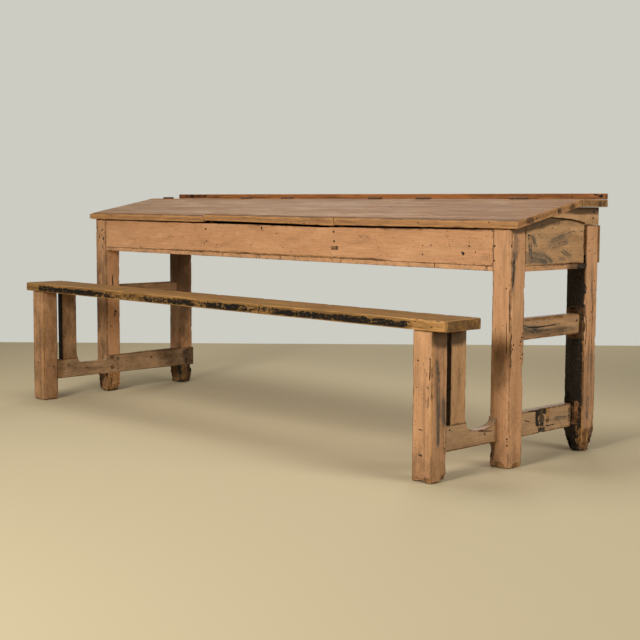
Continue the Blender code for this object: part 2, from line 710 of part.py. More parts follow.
def hinge_leaf(name, middle, into, spans, iron, frame, axis=None):
    """A plate let into a board's edge, rolled into knuckles at spans and bored for the pin."""
    half = HINGE_LENGTH / 2
    near = HINGE_REACH + into * HINGE_EDGE_GAP / 2
    bm = box_mesh((middle - half, near, SHELF_HEIGHT - LEAF_HEIGHT),
                  (middle + half, near + into * LEAF_THICKNESS, SHELF_HEIGHT))
    leaf = hang(name, bm, iron, axis) if axis else place(name, bm, iron, frame)
    bm = bmesh.new()
    for start, end in spans:
        add_prism(bm, knuckle_outline(into), start, end)
    boolean(leaf, shade_round(guide(f"{name}_knuckles", bm, frame)), "UNION")
    bm = prism_mesh(rod_outline(PIN_RADIUS + SEAT_GAP), middle - half - CUT_OVERRUN, middle + half + CUT_OVERRUN)
    boolean(leaf, shade_round(guide(f"{name}_bore", bm, frame)))


def hinges(frame, axes):
    """Two butt hinges on each lid: a leaf on the shelf, a leaf on the lid, and their pin."""
    iron = surface("hinge_iron", (0.045, 0.038, 0.034), 0.55, metallic=0.8)
    for hand, axis in axes.items():
        for number, middle in enumerate(hinge_places(hand)):
            spans = knuckle_spans(middle)
            label = f"{hand}_{number + 1}"
            hinge_leaf(f"hinge_fixed_leaf_{label}", middle, 1, spans[0::2], iron, frame)
            hinge_leaf(f"hinge_lid_leaf_{label}", middle, -1, spans[1::2], iron, frame, axis)
            pin = prism_mesh(rod_outline(PIN_RADIUS), spans[0][0], spans[-1][1])
            shade_round(place(f"hinge_pin_{label}", pin, iron, frame))


def main():
    for old in list(bpy.data.objects):
        bpy.data.objects.remove(old, do_unlink=True)
    frame = empty("desk_frame", (0.0, ORIGIN_SHIFT, 0.0))
    desk_legs(frame)
    front_apron(frame)
    end_boards(frame)
    dividers(frame)
    back_boards(frame)
    floor_boards(frame)
    mid_rails(frame)
    low_rails(frame)
    bench_legs(frame)
    bench_uprights(frame)
    bench_seat(frame)
    shelf(frame)
    hinges(frame, lids(frame))


main()
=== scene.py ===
"""A long school desk with a plank bench: old salmon paint, handled wood, black tar and iron hinges.

Lengths are in metres: X along the desk, Y from the bench to the back of the desk, Z up. Every board is
one grid of points that runs round its section and along its length. Wear takes wood off and never adds
it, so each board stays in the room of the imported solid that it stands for.
"""
import math
from itertools import product

import bmesh
import bpy
import numpy as np
from mathutils import Matrix, Vector


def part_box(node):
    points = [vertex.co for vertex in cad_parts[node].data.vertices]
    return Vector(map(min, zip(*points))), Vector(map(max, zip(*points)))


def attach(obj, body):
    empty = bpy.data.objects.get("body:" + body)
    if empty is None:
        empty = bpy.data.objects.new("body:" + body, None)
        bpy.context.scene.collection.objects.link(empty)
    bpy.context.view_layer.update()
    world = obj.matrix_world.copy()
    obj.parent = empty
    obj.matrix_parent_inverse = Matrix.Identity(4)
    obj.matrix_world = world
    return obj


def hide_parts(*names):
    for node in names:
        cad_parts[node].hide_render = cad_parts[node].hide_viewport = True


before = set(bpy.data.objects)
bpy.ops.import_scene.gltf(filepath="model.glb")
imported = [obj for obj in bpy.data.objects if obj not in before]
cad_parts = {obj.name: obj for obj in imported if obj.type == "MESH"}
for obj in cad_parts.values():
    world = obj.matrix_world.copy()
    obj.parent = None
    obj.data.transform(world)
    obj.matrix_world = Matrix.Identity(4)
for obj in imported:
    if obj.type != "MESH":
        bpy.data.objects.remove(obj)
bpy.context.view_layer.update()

# The desk's own sizes, as its solids have them
LEG_OUT = 1.092
LEG_IN = 1.020
DESK_FRONT = -0.06765
LEG_BACK = 0.00035
REAR_LEG_FRONT = 0.32035
LID_FRONT = DESK_FRONT - 0.018
LID_FRONT_TOP = 0.751
LID_THICKNESS = 0.0225
HINGE_LINE = 0.24885
SHELF_TOP = 0.818
SLOPE = (SHELF_TOP - LID_FRONT_TOP) / (HINGE_LINE - LID_FRONT)
TILT = math.atan(SLOPE)
SHADOW_GAP = 0.0003
LEG_SHADOW = 0.0032
SHELF_UNDERSIDE = 0.793
RAIL_TOP = 0.1565
SIDES = {"left": -1, "right": 1}


# Rough numbers that are the same on each run

def scatter(i, j, k, seed):
    """Shares from 0 to 1 for whole lattice numbers: each is multiplied by a large odd number, the
    products are folded together, and the low bits of the result are read as a share."""
    mask = np.int64(0x7FFFFFFF)
    n = (i * 73856093 ^ j * 19349663 ^ k * 83492791 ^ np.int64(seed) * 15485863) & mask
    n = ((n ^ n >> 13) * 1103515) & mask
    n = ((n ^ n >> 11) * 912931) & mask
    return (n ^ n >> 15) % 65536 / 65536.0


def uneven(points, size, seed):
    """Smooth random heights from -1 to 1: a random share at each corner of a lattice with cells of the
    given size, blended inside a cell by 3t^2 - 2t^3 along each axis."""
    cells = np.asarray(points) / np.asarray(size, float)
    low = np.floor(cells).astype(np.int64)
    t = cells - low
    t = t * t * (3 - 2 * t)
    total = 0.0
    for a, b, c in product((0, 1), repeat=3):
        weight = ((t[..., 0] if a else 1 - t[..., 0])
                  * (t[..., 1] if b else 1 - t[..., 1])
                  * (t[..., 2] if c else 1 - t[..., 2]))
        total = total + weight * scatter(low[..., 0] + a, low[..., 1] + b, low[..., 2] + c, seed)
    return 2 * total - 1


def rough(points, size, seed, layers=3):
    """A sum of uneven heights, each layer half the size and 0.55 of the height of the one before."""
    total, share, whole = 0.0, 1.0, 0.0
    for layer in range(layers):
        total = total + share * uneven(points, np.asarray(size, float) / 2 ** layer, seed + 101 * layer)
        whole += share
        share *= 0.55
    return total / whole


def soft_step(value, low, high):
    """0 below low, 1 above high, and 3t^2 - 2t^3 between."""
    t = np.clip((value - low) / (high - low), 0, 1)
    return t * t * (3 - 2 * t)


# What use has done to each piece, and where shade is painted on it, in millimetres from the desk's origin:
# holes (x, y, z, radius), splits (path, half width, depth), hollows (x, y, z, reach along each axis, depth),
# soft stains of tar, grey wash, bare wood and grime, where some grime marks are painted shade (x, y, z, reach
# along each axis, strength), strokes (stain, start, end, half width, strength) and coats (stain, low corner,
# high corner, strength)

FAULTS_MM = {
    "desk_leg_front_right": {
        "holes": [(1092, -3, 410.3, 3), (1092, -3, 400.7, 2.6), (1092, -11.8, 398.3, 3),
                  (1092, -15.9, 386.7, 3.2), (1092, -19, 375.4, 2.6), (1092, -7.5, 346.7, 3.2),
                  (1092, -14.2, 335.4, 3), (1092, -50.4, 379, 3.2), (1092, -56, 366.9, 3),
                  (1086.5, -67.7, 93, 3.4), (1086.5, -67.7, 85, 2.4), (1086.5, -67.7, 73, 3.2),
                  (1092, -18, 667, 2.2), (1072, -67.7, 548, 2.6), (1060, -67.7, 590, 1.8)],
        "splits": [([(1083.5, -67.7, 560), (1086, -67.7, 470), (1088.5, -67.7, 400)], 2.2, 6),
                   ([(1092, -60.6, 430), (1092, -64, 345), (1092, -57.8, 290)], 2.4, 6),
                   ([(1075.6, -67.7, 462), (1078.5, -67.7, 335)], 1.6, 3)],
        "hollows": [(1092, -67.7, 700, 12, 10, 12, 4), (1092, -67.7, 672, 10, 10, 10, 4),
                    (1092, -67.7, 480, 10, 10, 30, 4), (1092, -67.7, 620, 8, 8, 24, 3),
                    (1020, -67.7, 52, 14, 14, 20, 6), (1092, 0.3, 300, 12, 12, 30, 5)],
        "tar": [(1092, -61, 345, 6, 3, 50, 0.55), (1090, -67.7, 700, 6, 6, 8, 0.8),
                (1090, -67.7, 676, 6, 6, 10, 0.8), (1092, -66, 590, 4, 4, 50, 0.5),
                (1085.5, -67.7, 480, 3, 10, 60, 0.5), (1027, -67.7, 40, 7, 12, 22, 0.75),
                (1030, -67.7, 6, 12, 12, 10, 0.5)],
        "strokes": [("wash", (1092, -54, 700), (1092, -60, 500), 16, 1.2),
                    ("wash", (1092, -48, 730), (1092, -46, 620), 22, 1.1),
                    ("wash", (1092, -38, 712), (1092, -34, 640), 14, 0.9),
                    ("tar", (1092, -56, 672), (1092, -61, 530), 8, 1.0),
                    ("wash", (1092, -30, 500), (1092, -26, 420), 7, 0.8),
                    ("wash", (1092, -35, 240), (1092, -30, 120), 16, 0.6)],
        "bare": [(1060, -67.7, 12, 40, 12, 14, 0.8), (1092, -20, 10, 10, 50, 12, 0.7)],
        # The second grime spot is the painted shadow of the bench seat on the front face; the third is
        # painted shade under the lid at the top of the side face.
        "grime": [(1030, -67.7, 60, 20, 20, 70, 0.8), (1056, -67.7, 310, 50, 12, 130, 0.6),
                  (1092, -34, 730, 10, 60, 26, 1.4)],
    },
    "desk_leg_back_right": {
        "holes": [(1092, 370.8, 643, 2.4), (1092, 340.7, 654.9, 2), (1092, 360, 456, 2.8)],
        "splits": [([(1092, 329, 470), (1092, 333, 395), (1092, 330, 330)], 2.4, 5),
                   ([(1092, 366, 560), (1092, 364, 200)], 1.6, 3)],
        "hollows": [(1090, 320.4, 60, 16, 16, 30, 6), (1092, 332, 20, 22, 26, 34, 9),
                    (1020, 320.4, 20, 40, 30, 50, 14), (1092, 388.3, 20, 20, 28, 44, 12),
                    (1087, 320.4, 440, 14, 12, 20, 6), (1092, 320.4, 385, 10, 10, 18, 6),
                    (1050, 320.4, 466, 30, 8, 8, 4), (1060, 320.4, 370, 30, 8, 8, 3),
                    (1060, 320.4, 130, 20, 10, 50, 4), (1030, 320.4, 190, 14, 8, 16, 4)],
        "coats": [("tar", (990, 310, 474), (1089, 326, 640), 1.15),
                  ("tar", (990, 310, 166), (1087, 326, 370), 1.15),
                  ("tar", (990, 310, -20), (1066, 332, 86), 1.15),
                  ("tar", (1066, 310, -20), (1078, 330, 110), 0.62),
                  ("tar", (990, 310, 80), (1050, 326, 170), 1.1),
                  ("tar", (1076, 310, 80), (1088, 326, 170), 0.8),
                  ("tar", (1050, 310, 146), (1060, 326, 170), 0.8),
                  ("tar", (1010, 330, -20), (1021, 400, 640), 1.2),
                  ("bare", (1064, 300, -20), (1130, 358, 78), 1.5),
                  ("bare", (1020, 310, 372), (1085, 325, 474), 0.7),
                  ("grime", (1010, 310, 362), (1092, 325, 484), 0.9),
                  ("bare", (1046, 310, 80), (1088, 325, 166), 0.4),
                  ("wash", (1088, 326, -20), (1100, 400, 320), 0.62),
                  ("grime", (1060, 362, -20), (1120, 420, 80), 0.8),
                  ("bare", (1020, 310, 160), (1040, 325, 196), 1.0),
                  ("tar", (1022, 310, 464), (1075, 325, 472), 0.7),
                  ("tar", (1020, 310, 366), (1080, 325, 374), 0.5)],
        "tar": [(1085, 329, 425, 12, 6, 45, 0.7), (1080, 320.4, 440, 10, 10, 30, 0.6),
                (1050, 320.4, 4, 45, 30, 10, 1.0), (1092, 330, 4, 20, 40, 6, 1.0)],
        "strokes": [("wash", (1092, 360, 640), (1092, 356, 450), 14, 1.0),
                    ("wash", (1092, 350, 420), (1092, 348, 220), 8, 1.1),
                    ("wash", (1092, 370, 400), (1092, 368, 120), 9, 1.1),
                    ("wash", (1092, 352, 200), (1092, 348, 90), 18, 1.2),
                    ("tar", (1068, 320.4, 170), (1074, 320.4, 80), 7, 0.9),
                    ("tar", (1050, 320.4, 165), (1056, 320.4, 90), 8, 0.9),
                    ("tar", (1036, 320.4, 480), (1042, 320.4, 380), 12, 0.95),
                    ("tar", (1064, 320.4, 484), (1060, 320.4, 420), 9, 0.9),
                    ("tar", (1076, 320.4, 430), (1080, 320.4, 362), 8, 0.9),
                    ("tar", (1052, 320.4, 420), (1058, 320.4, 364), 8, 0.8),
                    ("grime", (1084, 320.4, 360), (1086, 320.4, 180), 3, 0.6)],
        "wash": [(1052, 320.4, 306, 8, 10, 8, 0.9)],
        "bare": [(1088, 320.4, 300, 4, 10, 130, 1.0), (1092, 380, 80, 10, 12, 40, 0.8)],
    },
    "desk_leg_front_left": {
        "holes": [(-1050.8, -67.7, 681.8, 3), (-1049, -67.7, 662.5, 3.4), (-1050.3, -67.7, 595.2, 3),
                  (-1071.3, -67.7, 274.2, 3.4), (-1077.6, -67.7, 640.8, 2.6), (-1020, -33.6, 464, 3.6),
                  (-1020, -19.8, 338.9, 3.4), (-1020, -46.5, 276.7, 3.4), (-1056, -67.7, 625, 2.4)],
        "splits": [([(-1051.6, -67.7, 676.3), (-1047.9, -67.7, 683.3), (-1039.2, -67.7, 687.9)], 3.2, 5),
                   ([(-1038, -67.7, 674.5), (-1032.6, -67.7, 671)], 2.4, 5),
                   ([(-1067.6, -67.7, 669.7), (-1069.8, -67.7, 660), (-1069, -67.7, 653.5),
                     (-1059.6, -67.7, 651)], 2.4, 2.2),
                   ([(-1037.7, -67.7, 656.5), (-1039.9, -67.7, 640)], 4.6, 7),
                   ([(-1051.6, -67.7, 625.8), (-1050, -67.7, 618), (-1044, -67.7, 608),
                     (-1037.7, -67.7, 598.1)], 3, 5),
                   ([(-1020, -30, 500), (-1020, -36, 475), (-1020, -31, 440)], 3.4, 6),
                   ([(-1020, -23, 350), (-1020, -26, 315)], 3, 5),
                   ([(-1020, -48, 60), (-1020, -42, 44), (-1020, -46, 28)], 2.4, 5)],
        "hollows": [(-1092, -67.7, 30, 40, 30, 50, 12), (-1026, -67.7, 60, 10, 10, 22, 7),
                    (-1020, 0.3, 4, 20, 20, 30, 6), (-1020, -67.7, 420, 8, 8, 20, 4),
                    (-1020, -20, 20, 10, 14, 10, 4)],
        "coats": [("bare", (-1100, -80, -20), (-1010, 10, 76), 0.72),
                  ("tar", (-1030, -80, 50), (-1010, -63, 84), 1.1),
                  ("tar", (-1100, -80, -20), (-1010, 10, 6), 0.75)],
        "grime": [(-1050, -67.7, 300, 100, 14, 600, 0.64), (-1078, -67.7, 50, 30, 20, 50, 0.8)],
    },
    "desk_leg_back_left": {
        "hollows": [(-1020, 388.3, 72, 22, 30, 14, 15), (-1020, 320.4, 74, 18, 18, 12, 6),
                    (-1020, 320.4, 10, 22, 20, 35, 6), (-1020, 388.3, 0, 20, 18, 20, 10),
                    (-1060, 320.4, 40, 30, 20, 30, 8), (-1020, 354, 55, 8, 14, 10, 6)],
        "coats": [("grime", (-1100, 300, -20), (-1010, 400, 82), 0.9),
                  ("bare", (-1100, 300, -20), (-1010, 400, 74), 1.0),
                  ("tar", (-1040, 300, 40), (-1010, 330, 82), 1.0),
                  ("tar", (-1030, 366, 46), (-1010, 400, 70), 0.8),
                  ("tar", (-1100, 300, -20), (-1010, 400, 5), 0.9)],
        "strokes": [("tar", (-1020, 384, 420), (-1020, 382, 180), 6, 0.6)],
        # These grime spots darken the upper leg: grime, and painted shade under the desk box above it.
        "grime": [(-1020, 320.4, 640, 150, 100, 260, 1.5), (-1020, 320.4, 460, 180, 110, 440, 1.05)],
    },
    "end_board_right": {
        "holes": [(1092, 13.5, 707.1, 3.4), (1092, 13.8, 697.7, 3), (1092, 133.7, 727.8, 2.8),
                  (1092, 81.1, 738.9, 2.4), (1092, 81.1, 697, 1.8)],
        "splits": [([(1092, 15, 707.5), (1092, 26, 705)], 2, 4)],
        "hollows": [(1092, 230, 612, 10, 30, 7, 4), (1092, 278, 610, 10, 20, 6, 5),
                    (1092, 308, 710, 10, 5, 14, 3), (1092, 308, 670, 10, 5, 16, 3)],
        "tar": [(1092, 42, 690, 10, 11, 15, 0.5), (1092, 24.7, 663, 10, 9, 10, 0.5),
                (1092, 280, 611, 10, 30, 5, 0.7)],
        # The first stroke, a grime line along the top of the board, is painted shade under the lid's
        # overhang.
        "strokes": [("grime", (1092, -70, 716), (1092, 330, 796), 30, 1.9),
                    ("wash", (1092, 5, 658), (1092, 90, 640), 18, 1.2),
                    ("wash", (1092, 32, 720), (1092, 55, 660), 24, 1.15),
                    ("wash", (1092, 38, 706), (1092, 48, 674), 14, 1.5),
                    ("wash", (1092, 21, 690), (1092, 28, 632), 24, 1.4),
                    ("wash", (1092, 50, 662), (1092, 155, 616), 22, 1.1),
                    ("wash", (1092, 64, 652), (1092, 150, 618), 10, 1.5),
                    ("wash", (1092, 80, 654), (1092, 145, 626), 7, 1.4),
                    ("wash", (1092, 5, 638), (1092, 130, 622), 20, 1.4),
                    ("wash", (1092, 85, 670), (1092, 270, 726), 32, 0.95),
                    ("wash", (1092, 110, 684), (1092, 215, 708), 20, 1.15),
                    ("wash", (1092, 120, 670), (1092, 235, 688), 22, 0.95),
                    ("wash", (1092, 175, 664), (1092, 250, 630), 22, 1.15),
                    ("wash", (1092, 190, 654), (1092, 235, 640), 10, 1.5),
                    ("wash", (1092, 165, 637), (1092, 215, 627), 10, 1.2),
                    ("wash", (1092, 10, 737), (1092, 120, 762), 20, 1.1),
                    ("wash", (1092, 50, 722), (1092, 130, 690), 26, 0.8)],
        "wash": [(1092, 130, 680, 10, 120, 60, 0.5), (1092, 50, 640, 10, 110, 40, 0.95)],
        "bare": [(1092, 133, 745, 10, 90, 12, 0.5), (1092, 256, 613, 10, 40, 8, 0.9)],
        # The first grime spot is painted shade under the lid's edge.
        "grime": [(1092, 150, 745, 10, 200, 16, 0.5), (1092, 20, 700, 10, 30, 50, 0.4)],
    },
    "end_board_right_cheek": {
        "holes": [(1092, 360.5, 777.7, 5.5), (1092, 356.1, 745.6, 2)],
        # The first grime spot is painted shade under the shelf.
        "grime": [(1092, 290, 788, 10, 160, 26, 1.5), (1092, 375, 778, 10, 16, 14, 0.9)],
        "tar": [(1092, 378, 785, 10, 12, 10, 0.55)],
    },
    "mid_rail_right": {
        "hollows": [(1074, 60, 452, 12, 60, 10, 5), (1074, 200, 452, 12, 80, 10, 5)],
        "splits": [([(1074, 20, 424), (1074, 110, 421.5), (1074, 230, 426)], 2.2, 4)],
        "tar": [(1074, 80, 416, 10, 30, 7, 0.6), (1074, 30, 421, 10, 26, 6, 0.62)],
        "strokes": [("tar", (1074, 5, 422), (1074, 250, 424), 4, 0.9),
                    ("wash", (1074, -10, 432), (1074, 110, 412), 22, 1.5),
                    ("tar", (1074, -10, 414), (1074, 90, 406), 8, 0.75),
                    ("wash", (1074, 5, 412), (1074, 190, 410), 13, 1.3),
                    ("wash", (1074, 120, 405), (1074, 310, 412), 12, 0.9),
                    ("wash", (1074, 10, 440), (1074, 120, 436), 7, 0.8)],
        "bare": [(1070, 160, 448, 12, 160, 10, 0.8)],
        "grime": [(1074, 160, 404, 10, 240, 20, 0.7)],
    },
    "mid_rail_left": {
        "grime": [(-1050, 160, 420, 100, 400, 200, 0.55)],
    },
    "low_rail_right": {
        "holes": [(1047, -288.4, 143.1, 3.4), (1047, -123.3, 109.6, 3), (1047, -193.1, 129.4, 2)],
        "splits": [([(1047, -158.6, 123.3), (1047, -115, 119), (1047, -74, 113)], 2, 4),
                   ([(1047, 87.7, 154), (1047, 130, 152), (1047, 150, 151.5)], 2.4, 6),
                   ([(1047, 180, 98.5), (1047, 214.5, 97.3), (1047, 240, 99)], 1.8, 3),
                   ([(1047, 70, 129), (1047, 106, 121)], 1.6, 3)],
        "hollows": [(1047, 153, 123, 14, 12, 24, 9), (1047, 176, 140, 12, 8, 14, 6),
                    (1047, 163, 85, 12, 16, 14, 6), (1047, -125, 112, 6, 12, 8, 2)],
        "tar": [(1047, 312, 120, 10, 10, 50, 0.6)],
        "coats": [("tar", (1040, 132, 104), (1060, 156, 152), 1.1),
                  ("tar", (1040, 156, 100), (1060, 172, 112), 1.0),
                  ("tar", (1040, 170, 138), (1060, 186, 156), 1.0),
                  ("tar", (1040, 146, 60), (1060, 182, 96), 0.85),
                  ("grime", (1040, 156, 100), (1060, 174, 158), 1.3),
                  ("bare", (1040, 188, 104), (1060, 204, 152), 0.8)],
        "strokes": [("wash", (1047, 5, 150), (1047, 55, 80), 26, 1.3),
                    ("wash", (1047, 220, 118), (1047, 310, 112), 14, 1.2),
                    ("wash", (1047, 245, 135), (1047, 305, 128), 8, 0.9),
                    ("wash", (1047, -170, 112), (1047, -90, 104), 8, 0.6)],
        "bare": [(1047, -120, 112, 6, 20, 10, 0.45)],
    },
    "floor_board_11": {
        "coats": [("tar", (1070, 272, 590), (1110, 330, 630), 0.9)],
        "grime": [(1092, 250, 606, 20, 60, 30, 0.9)],
    },
    "bench_leg_right": {
        "holes": [(1010.6, -392.7, 353.6, 3), (1007.3, -392.7, 276, 1.8), (1027, -392.7, 79.1, 3.6),
                  (1020, -392.7, 80, 2.6), (1056, -392.7, 361.4, 2.2), (1056.2, -392.7, 330.2, 2.2)],
        "splits": [([(1013, -392.7, 152), (1023.3, -392.7, 154.5), (1033, -392.7, 150)], 1.8, 3),
                   ([(1056, -392.7, 370), (1057, -392.7, 330), (1054, -392.7, 290)], 1.8, 4),
                   ([(1051.7, -392.7, 260), (1051, -392.7, 215)], 1.6, 3)],
        "hollows": [(1066, -336, 6, 20, 20, 20, 10), (1020, -392.7, 4, 20, 16, 10, 6),
                    (1066, -392.7, 300, 7, 7, 50, 3), (1066, -392.7, 160, 7, 7, 40, 3)],
        "tar": [(1066, -337.1, 92, 10, 6, 22, 0.6), (1035, -366, 2, 50, 40, 6, 1.0)],
        "strokes": [("wash", (1066, -374, 372), (1066, -362, 280), 14, 1.5),
                    ("tar", (1066, -372, 352), (1066, -364, 300), 8, 0.7),
                    ("wash", (1066, -366, 310), (1066, -362, 160), 22, 1.3),
                    ("wash", (1066, -364, 230), (1066, -362, 90), 12, 1.6),
                    ("tar", (1066, -365, 205), (1066, -363, 120), 6, 0.6),
                    ("wash", (1066, -342, 260), (1066, -336, 150), 14, 1.5),
                    ("tar", (1066, -338, 125), (1066, -334, 62), 9, 0.75),
                    ("wash", (1066, -350, 300), (1066, -344, 130), 10, 0.9),
                    ("wash", (1066, -376, 150), (1066, -372, 60), 10, 0.9)],
        "bare": [(1066, -392.7, 240, 5, 5, 200, 0.7), (1050, -380, 12, 30, 30, 14, 0.9)],
        # The first grime spot is painted shade under the seat's overhang.
        "grime": [(1066, -350, 430, 10, 80, 60, 1.4), (1066, -360, 250, 10, 80, 400, 0.35)],
    },
    "bench_leg_left": {
        "holes": [(-1034.1, -392.7, 151.3, 3), (-991, -345.1, 134.2, 3.2), (-1020.2, -392.7, 316.2, 2.4)],
        "tar": [(-1035, -366, 2, 50, 40, 6, 1.0)],
        "strokes": [("wash", (-1020, -392.7, 420), (-1023, -392.7, 200), 10, 0.7)],
        "grime": [(-1030, -360, 100, 200, 200, 900, 0.5)],
        "bare": [(-991, -392.7, 240, 5, 5, 200, 0.7), (-1030, -392.7, 240, 60, 10, 260, 0.35)],
    },
    "bench_upright_left": {
        "holes": [(-1017, -277.6, 249.8, 3.4)],
        "grime": [(-1017, -260, 300, 100, 100, 500, 0.65)],
    },
    "bench_upright_right": {
        # This grime spot is painted shade under the seat.
        "grime": [(1047, -255, 420, 20, 60, 45, 1.5)],
        "strokes": [("wash", (1047, -250.5, 400), (1047, -250.5, 170), 10, 0.7)],
    },
    "bench_seat": {
        "holes": [(980, -397.7, 460, 3.4), (1060, -397.7, 456, 3), (1000, -397.7, 448, 2.2)],
        "splits": [([(985, -397.7, 465.5), (1010, -397.7, 464), (1040, -397.7, 465)], 2.2, 2)],
        "hollows": [(1043, -397.7, 474, 14, 10, 7, 5), (1085, -397.7, 474, 12, 14, 10, 6),
                    (974, -397.7, 474, 10, 8, 6, 4), (620, -397.7, 474, 16, 7, 5, 3),
                    (150, -397.7, 474, 12, 7, 5, 3), (-420, -397.7, 474, 16, 8, 6, 4)],
    },
    "low_rail_left": {
        "holes": [(-1017, -259.4, 129.9, 3.4)],
        "splits": [([(-1017, -54, 146), (-1017, -43, 149)], 3, 1.8),
                   ([(-1017, -13, 140), (-1017, -18, 133)], 3, 1.8),
                   ([(-1017, -50, 97.8), (-1017, -40, 93)], 3, 1.8),
                   ([(-1017, -6, 101), (-1017, -13, 106)], 2.6, 1.8)],
        "strokes": [("grime", (-1017, -56, 143), (-1017, -30, 150), 7, 1.3),
                    ("grime", (-1017, -16, 147), (-1017, -10, 129), 8, 1.4),
                    ("grime", (-1017, -31, 121), (-1017, -20, 134), 6, 1.2),
                    ("grime", (-1017, -52, 111), (-1017, -38, 93), 8, 1.5),
                    ("grime", (-1017, -25, 89), (-1017, -4, 97), 6, 1.3),
                    ("grime", (-1017, -70, 105), (-1017, -56, 101), 6, 1.0),
                    ("grime", (-1017, 8, 125), (-1017, 12, 108), 5, 0.8)],
        "hollows": [(-1017, -40, 132, 6, 12, 10, 1.6), (-1017, 164.3, 129.1, 6, 12, 8, 3),
                    (-1052, 50, 156.5, 26, 70, 12, 7)],
        "coats": [("tar", (-1030, 330, 132), (-1000, 368, 148), 0.62),
                  ("tar", (-1030, 344, 86), (-1000, 360, 112), 0.62)],
        "tar": [(-1017, 164.3, 129.1, 10, 10, 7, 0.6)],
        "bare": [(-1017, -30, 125, 10, 40, 50, 0.5), (-1017, -37, 139, 10, 10, 7, 1.1),
                 (-1017, -38, 103, 10, 12, 6, 1.1), (-1017, -14, 117, 10, 9, 7, 1.0)],
        "grime": [(-1017, 370, 120, 100, 70, 100, 0.8), (-1017, 50, 110, 100, 600, 100, 0.36),
                  (-1017, 260, 120, 100, 140, 100, 0.62), (-1017, -200, 110, 100, 140, 100, 0.6)],
    },
    "lid_left": {
        "hollows": [(-1121, -85.7, 748, 20, 24, 16, 9), (-1121, -85.7, 729, 18, 20, 12, 8),
                    (-820, -85.7, 748.9, 12, 6, 5, 3), (-605.3, -85.7, 743.3, 10, 6, 6, 3),
                    (-360, -85.7, 750, 14, 6, 4, 3)],
        "tar": [(-605.3, -85.7, 743.3, 6, 6, 4, 0.55), (-820, -85.7, 748.9, 6, 6, 3, 0.5)],
    },
    "lid_middle": {
        "hollows": [(356, -85.7, 750, 8, 8, 10, 5), (360, -85.7, 730, 10, 8, 8, 6),
                    (50, -85.7, 731, 50, 8, 4, 3)],
        "tar": [(360, -85.7, 736, 6, 6, 12, 0.9), (362, -70, 750, 4, 20, 6, 0.8)],
    },
    "lid_right": {
        "holes": [(732, -85.7, 740, 3.4), (1015.4, -85.7, 745.4, 2.6), (1121, 123.9, 780, 3.6),
                  (1121, 184, 789.5, 4), (1121, 14.2, 760, 3)],
        "splits": [([(1035, -85.7, 741), (1050.1, -85.7, 742.1), (1060, -85.7, 740)], 1.8, 3)],
        "hollows": [(366, -85.7, 745, 8, 8, 12, 4), (1121, -85.7, 751, 8, 8, 6, 2),
                    (560, -85.7, 731, 40, 8, 4, 3), (900, -85.7, 751, 60, 8, 4, 3)],
        "grime": [(1121, -20, 752, 6, 30, 14, 1.3), (1121, 130, 780, 6, 16, 14, 1.2),
                  (1121, 200, 792, 6, 20, 16, 1.1)],
    },
    "shelf": {
        "holes": [(1120.4, 293.2, 803.1, 3)],
        "grime": [(1120.4, 349.6, 803.3, 6, 12, 14, 1.1), (1120.4, 370, 803.4, 6, 10, 12, 1.0)],
    },
    "front_apron": {
        "holes": [(926.9, -66.7, 671.7, 3.2), (903.4, -66.7, 647.9, 5), (899, -66.7, 652, 3),
                  (737.5, -66.7, 667.9, 2.6), (772.6, -66.7, 670.2, 2.4), (952, -66.7, 654, 2.4),
                  (-776.1, -66.7, 622, 2.6), (45.7, -66.7, 692, 2.6), (122.4, -66.7, 629.4, 2.6),
                  (-356.6, -66.7, 701, 4.4), (-35.8, -66.7, 709, 4.8), (335.4, -66.7, 704, 4.4),
                  (337.6, -66.7, 671.6, 4), (-33, -66.7, 700, 1.8), (-363, -66.7, 647.2, 2.4),
                  (610, -66.7, 690, 1.8)],
        "splits": [([(-602, -66.7, 664.5), (-575, -66.7, 666), (-547, -66.7, 665.7)], 1.4, 2),
                   ([(-300, -66.7, 643), (-280, -66.7, 642)], 1.4, 2),
                   ([(455, -66.7, 696), (470, -66.7, 685)], 1.4, 1.8),
                   ([(490, -66.7, 693), (508, -66.7, 680)], 1.4, 1.8),
                   ([(525, -66.7, 696), (536, -66.7, 674)], 1.4, 1.8),
                   ([(842, -66.7, 690), (856, -66.7, 648)], 1.4, 1.8)],
        "wash": [(480, -66.7, 690, 60, 10, 16, 0.45), (820, -66.7, 640, 50, 10, 10, 0.4)],
        "bare": [(905, -66.7, 650, 20, 10, 10, 0.5), (0, -66.7, 618, 900, 10, 6, 0.35)],
        "grime": [(-1012, -66.7, 670, 14, 10, 70, 0.4), (-767, -66.7, 620, 30, 10, 6, 0.6)],
    },
}
# The lids, the shelf, the strip and the seat are marked where their own functions build them.


def metres(values):
    """Millimetres as metres, for a number or for each number of nested rows."""
    if isinstance(values, (tuple, list)):
        return tuple(metres(value) for value in values)
    return round(values / 1000, 7)


def row_in_metres(kind, row):
    """A row with its lengths in metres, which is all of it but a stain's name and its strength."""
    if kind in ("holes", "splits", "hollows"):
        return metres(row)
    named = 1 if kind in ("strokes", "coats") else 0
    return row[:named] + metres(row[named:-1]) + row[-1:]


FAULTS = {piece: {kind: [row_in_metres(kind, row) for row in rows] for kind, rows in kinds.items()}
          for piece, kinds in FAULTS_MM.items()}


def soft_spots(points, spots):
    """The strongest of a set of soft spots: each is full inside a quarter of its reach and none at its
    reach, with distance measured as the cube root of summed cubes, which makes it a rounded box."""
    value = np.zeros(len(points))
    for x, y, z, rx, ry, rz, strength in spots:
        far = (np.abs((points - (x, y, z)) / (rx, ry, rz)) ** 3).sum(axis=1) ** (1 / 3)
        value = np.maximum(value, strength * (1 - soft_step(far, 0.25, 1.0)))
    return value


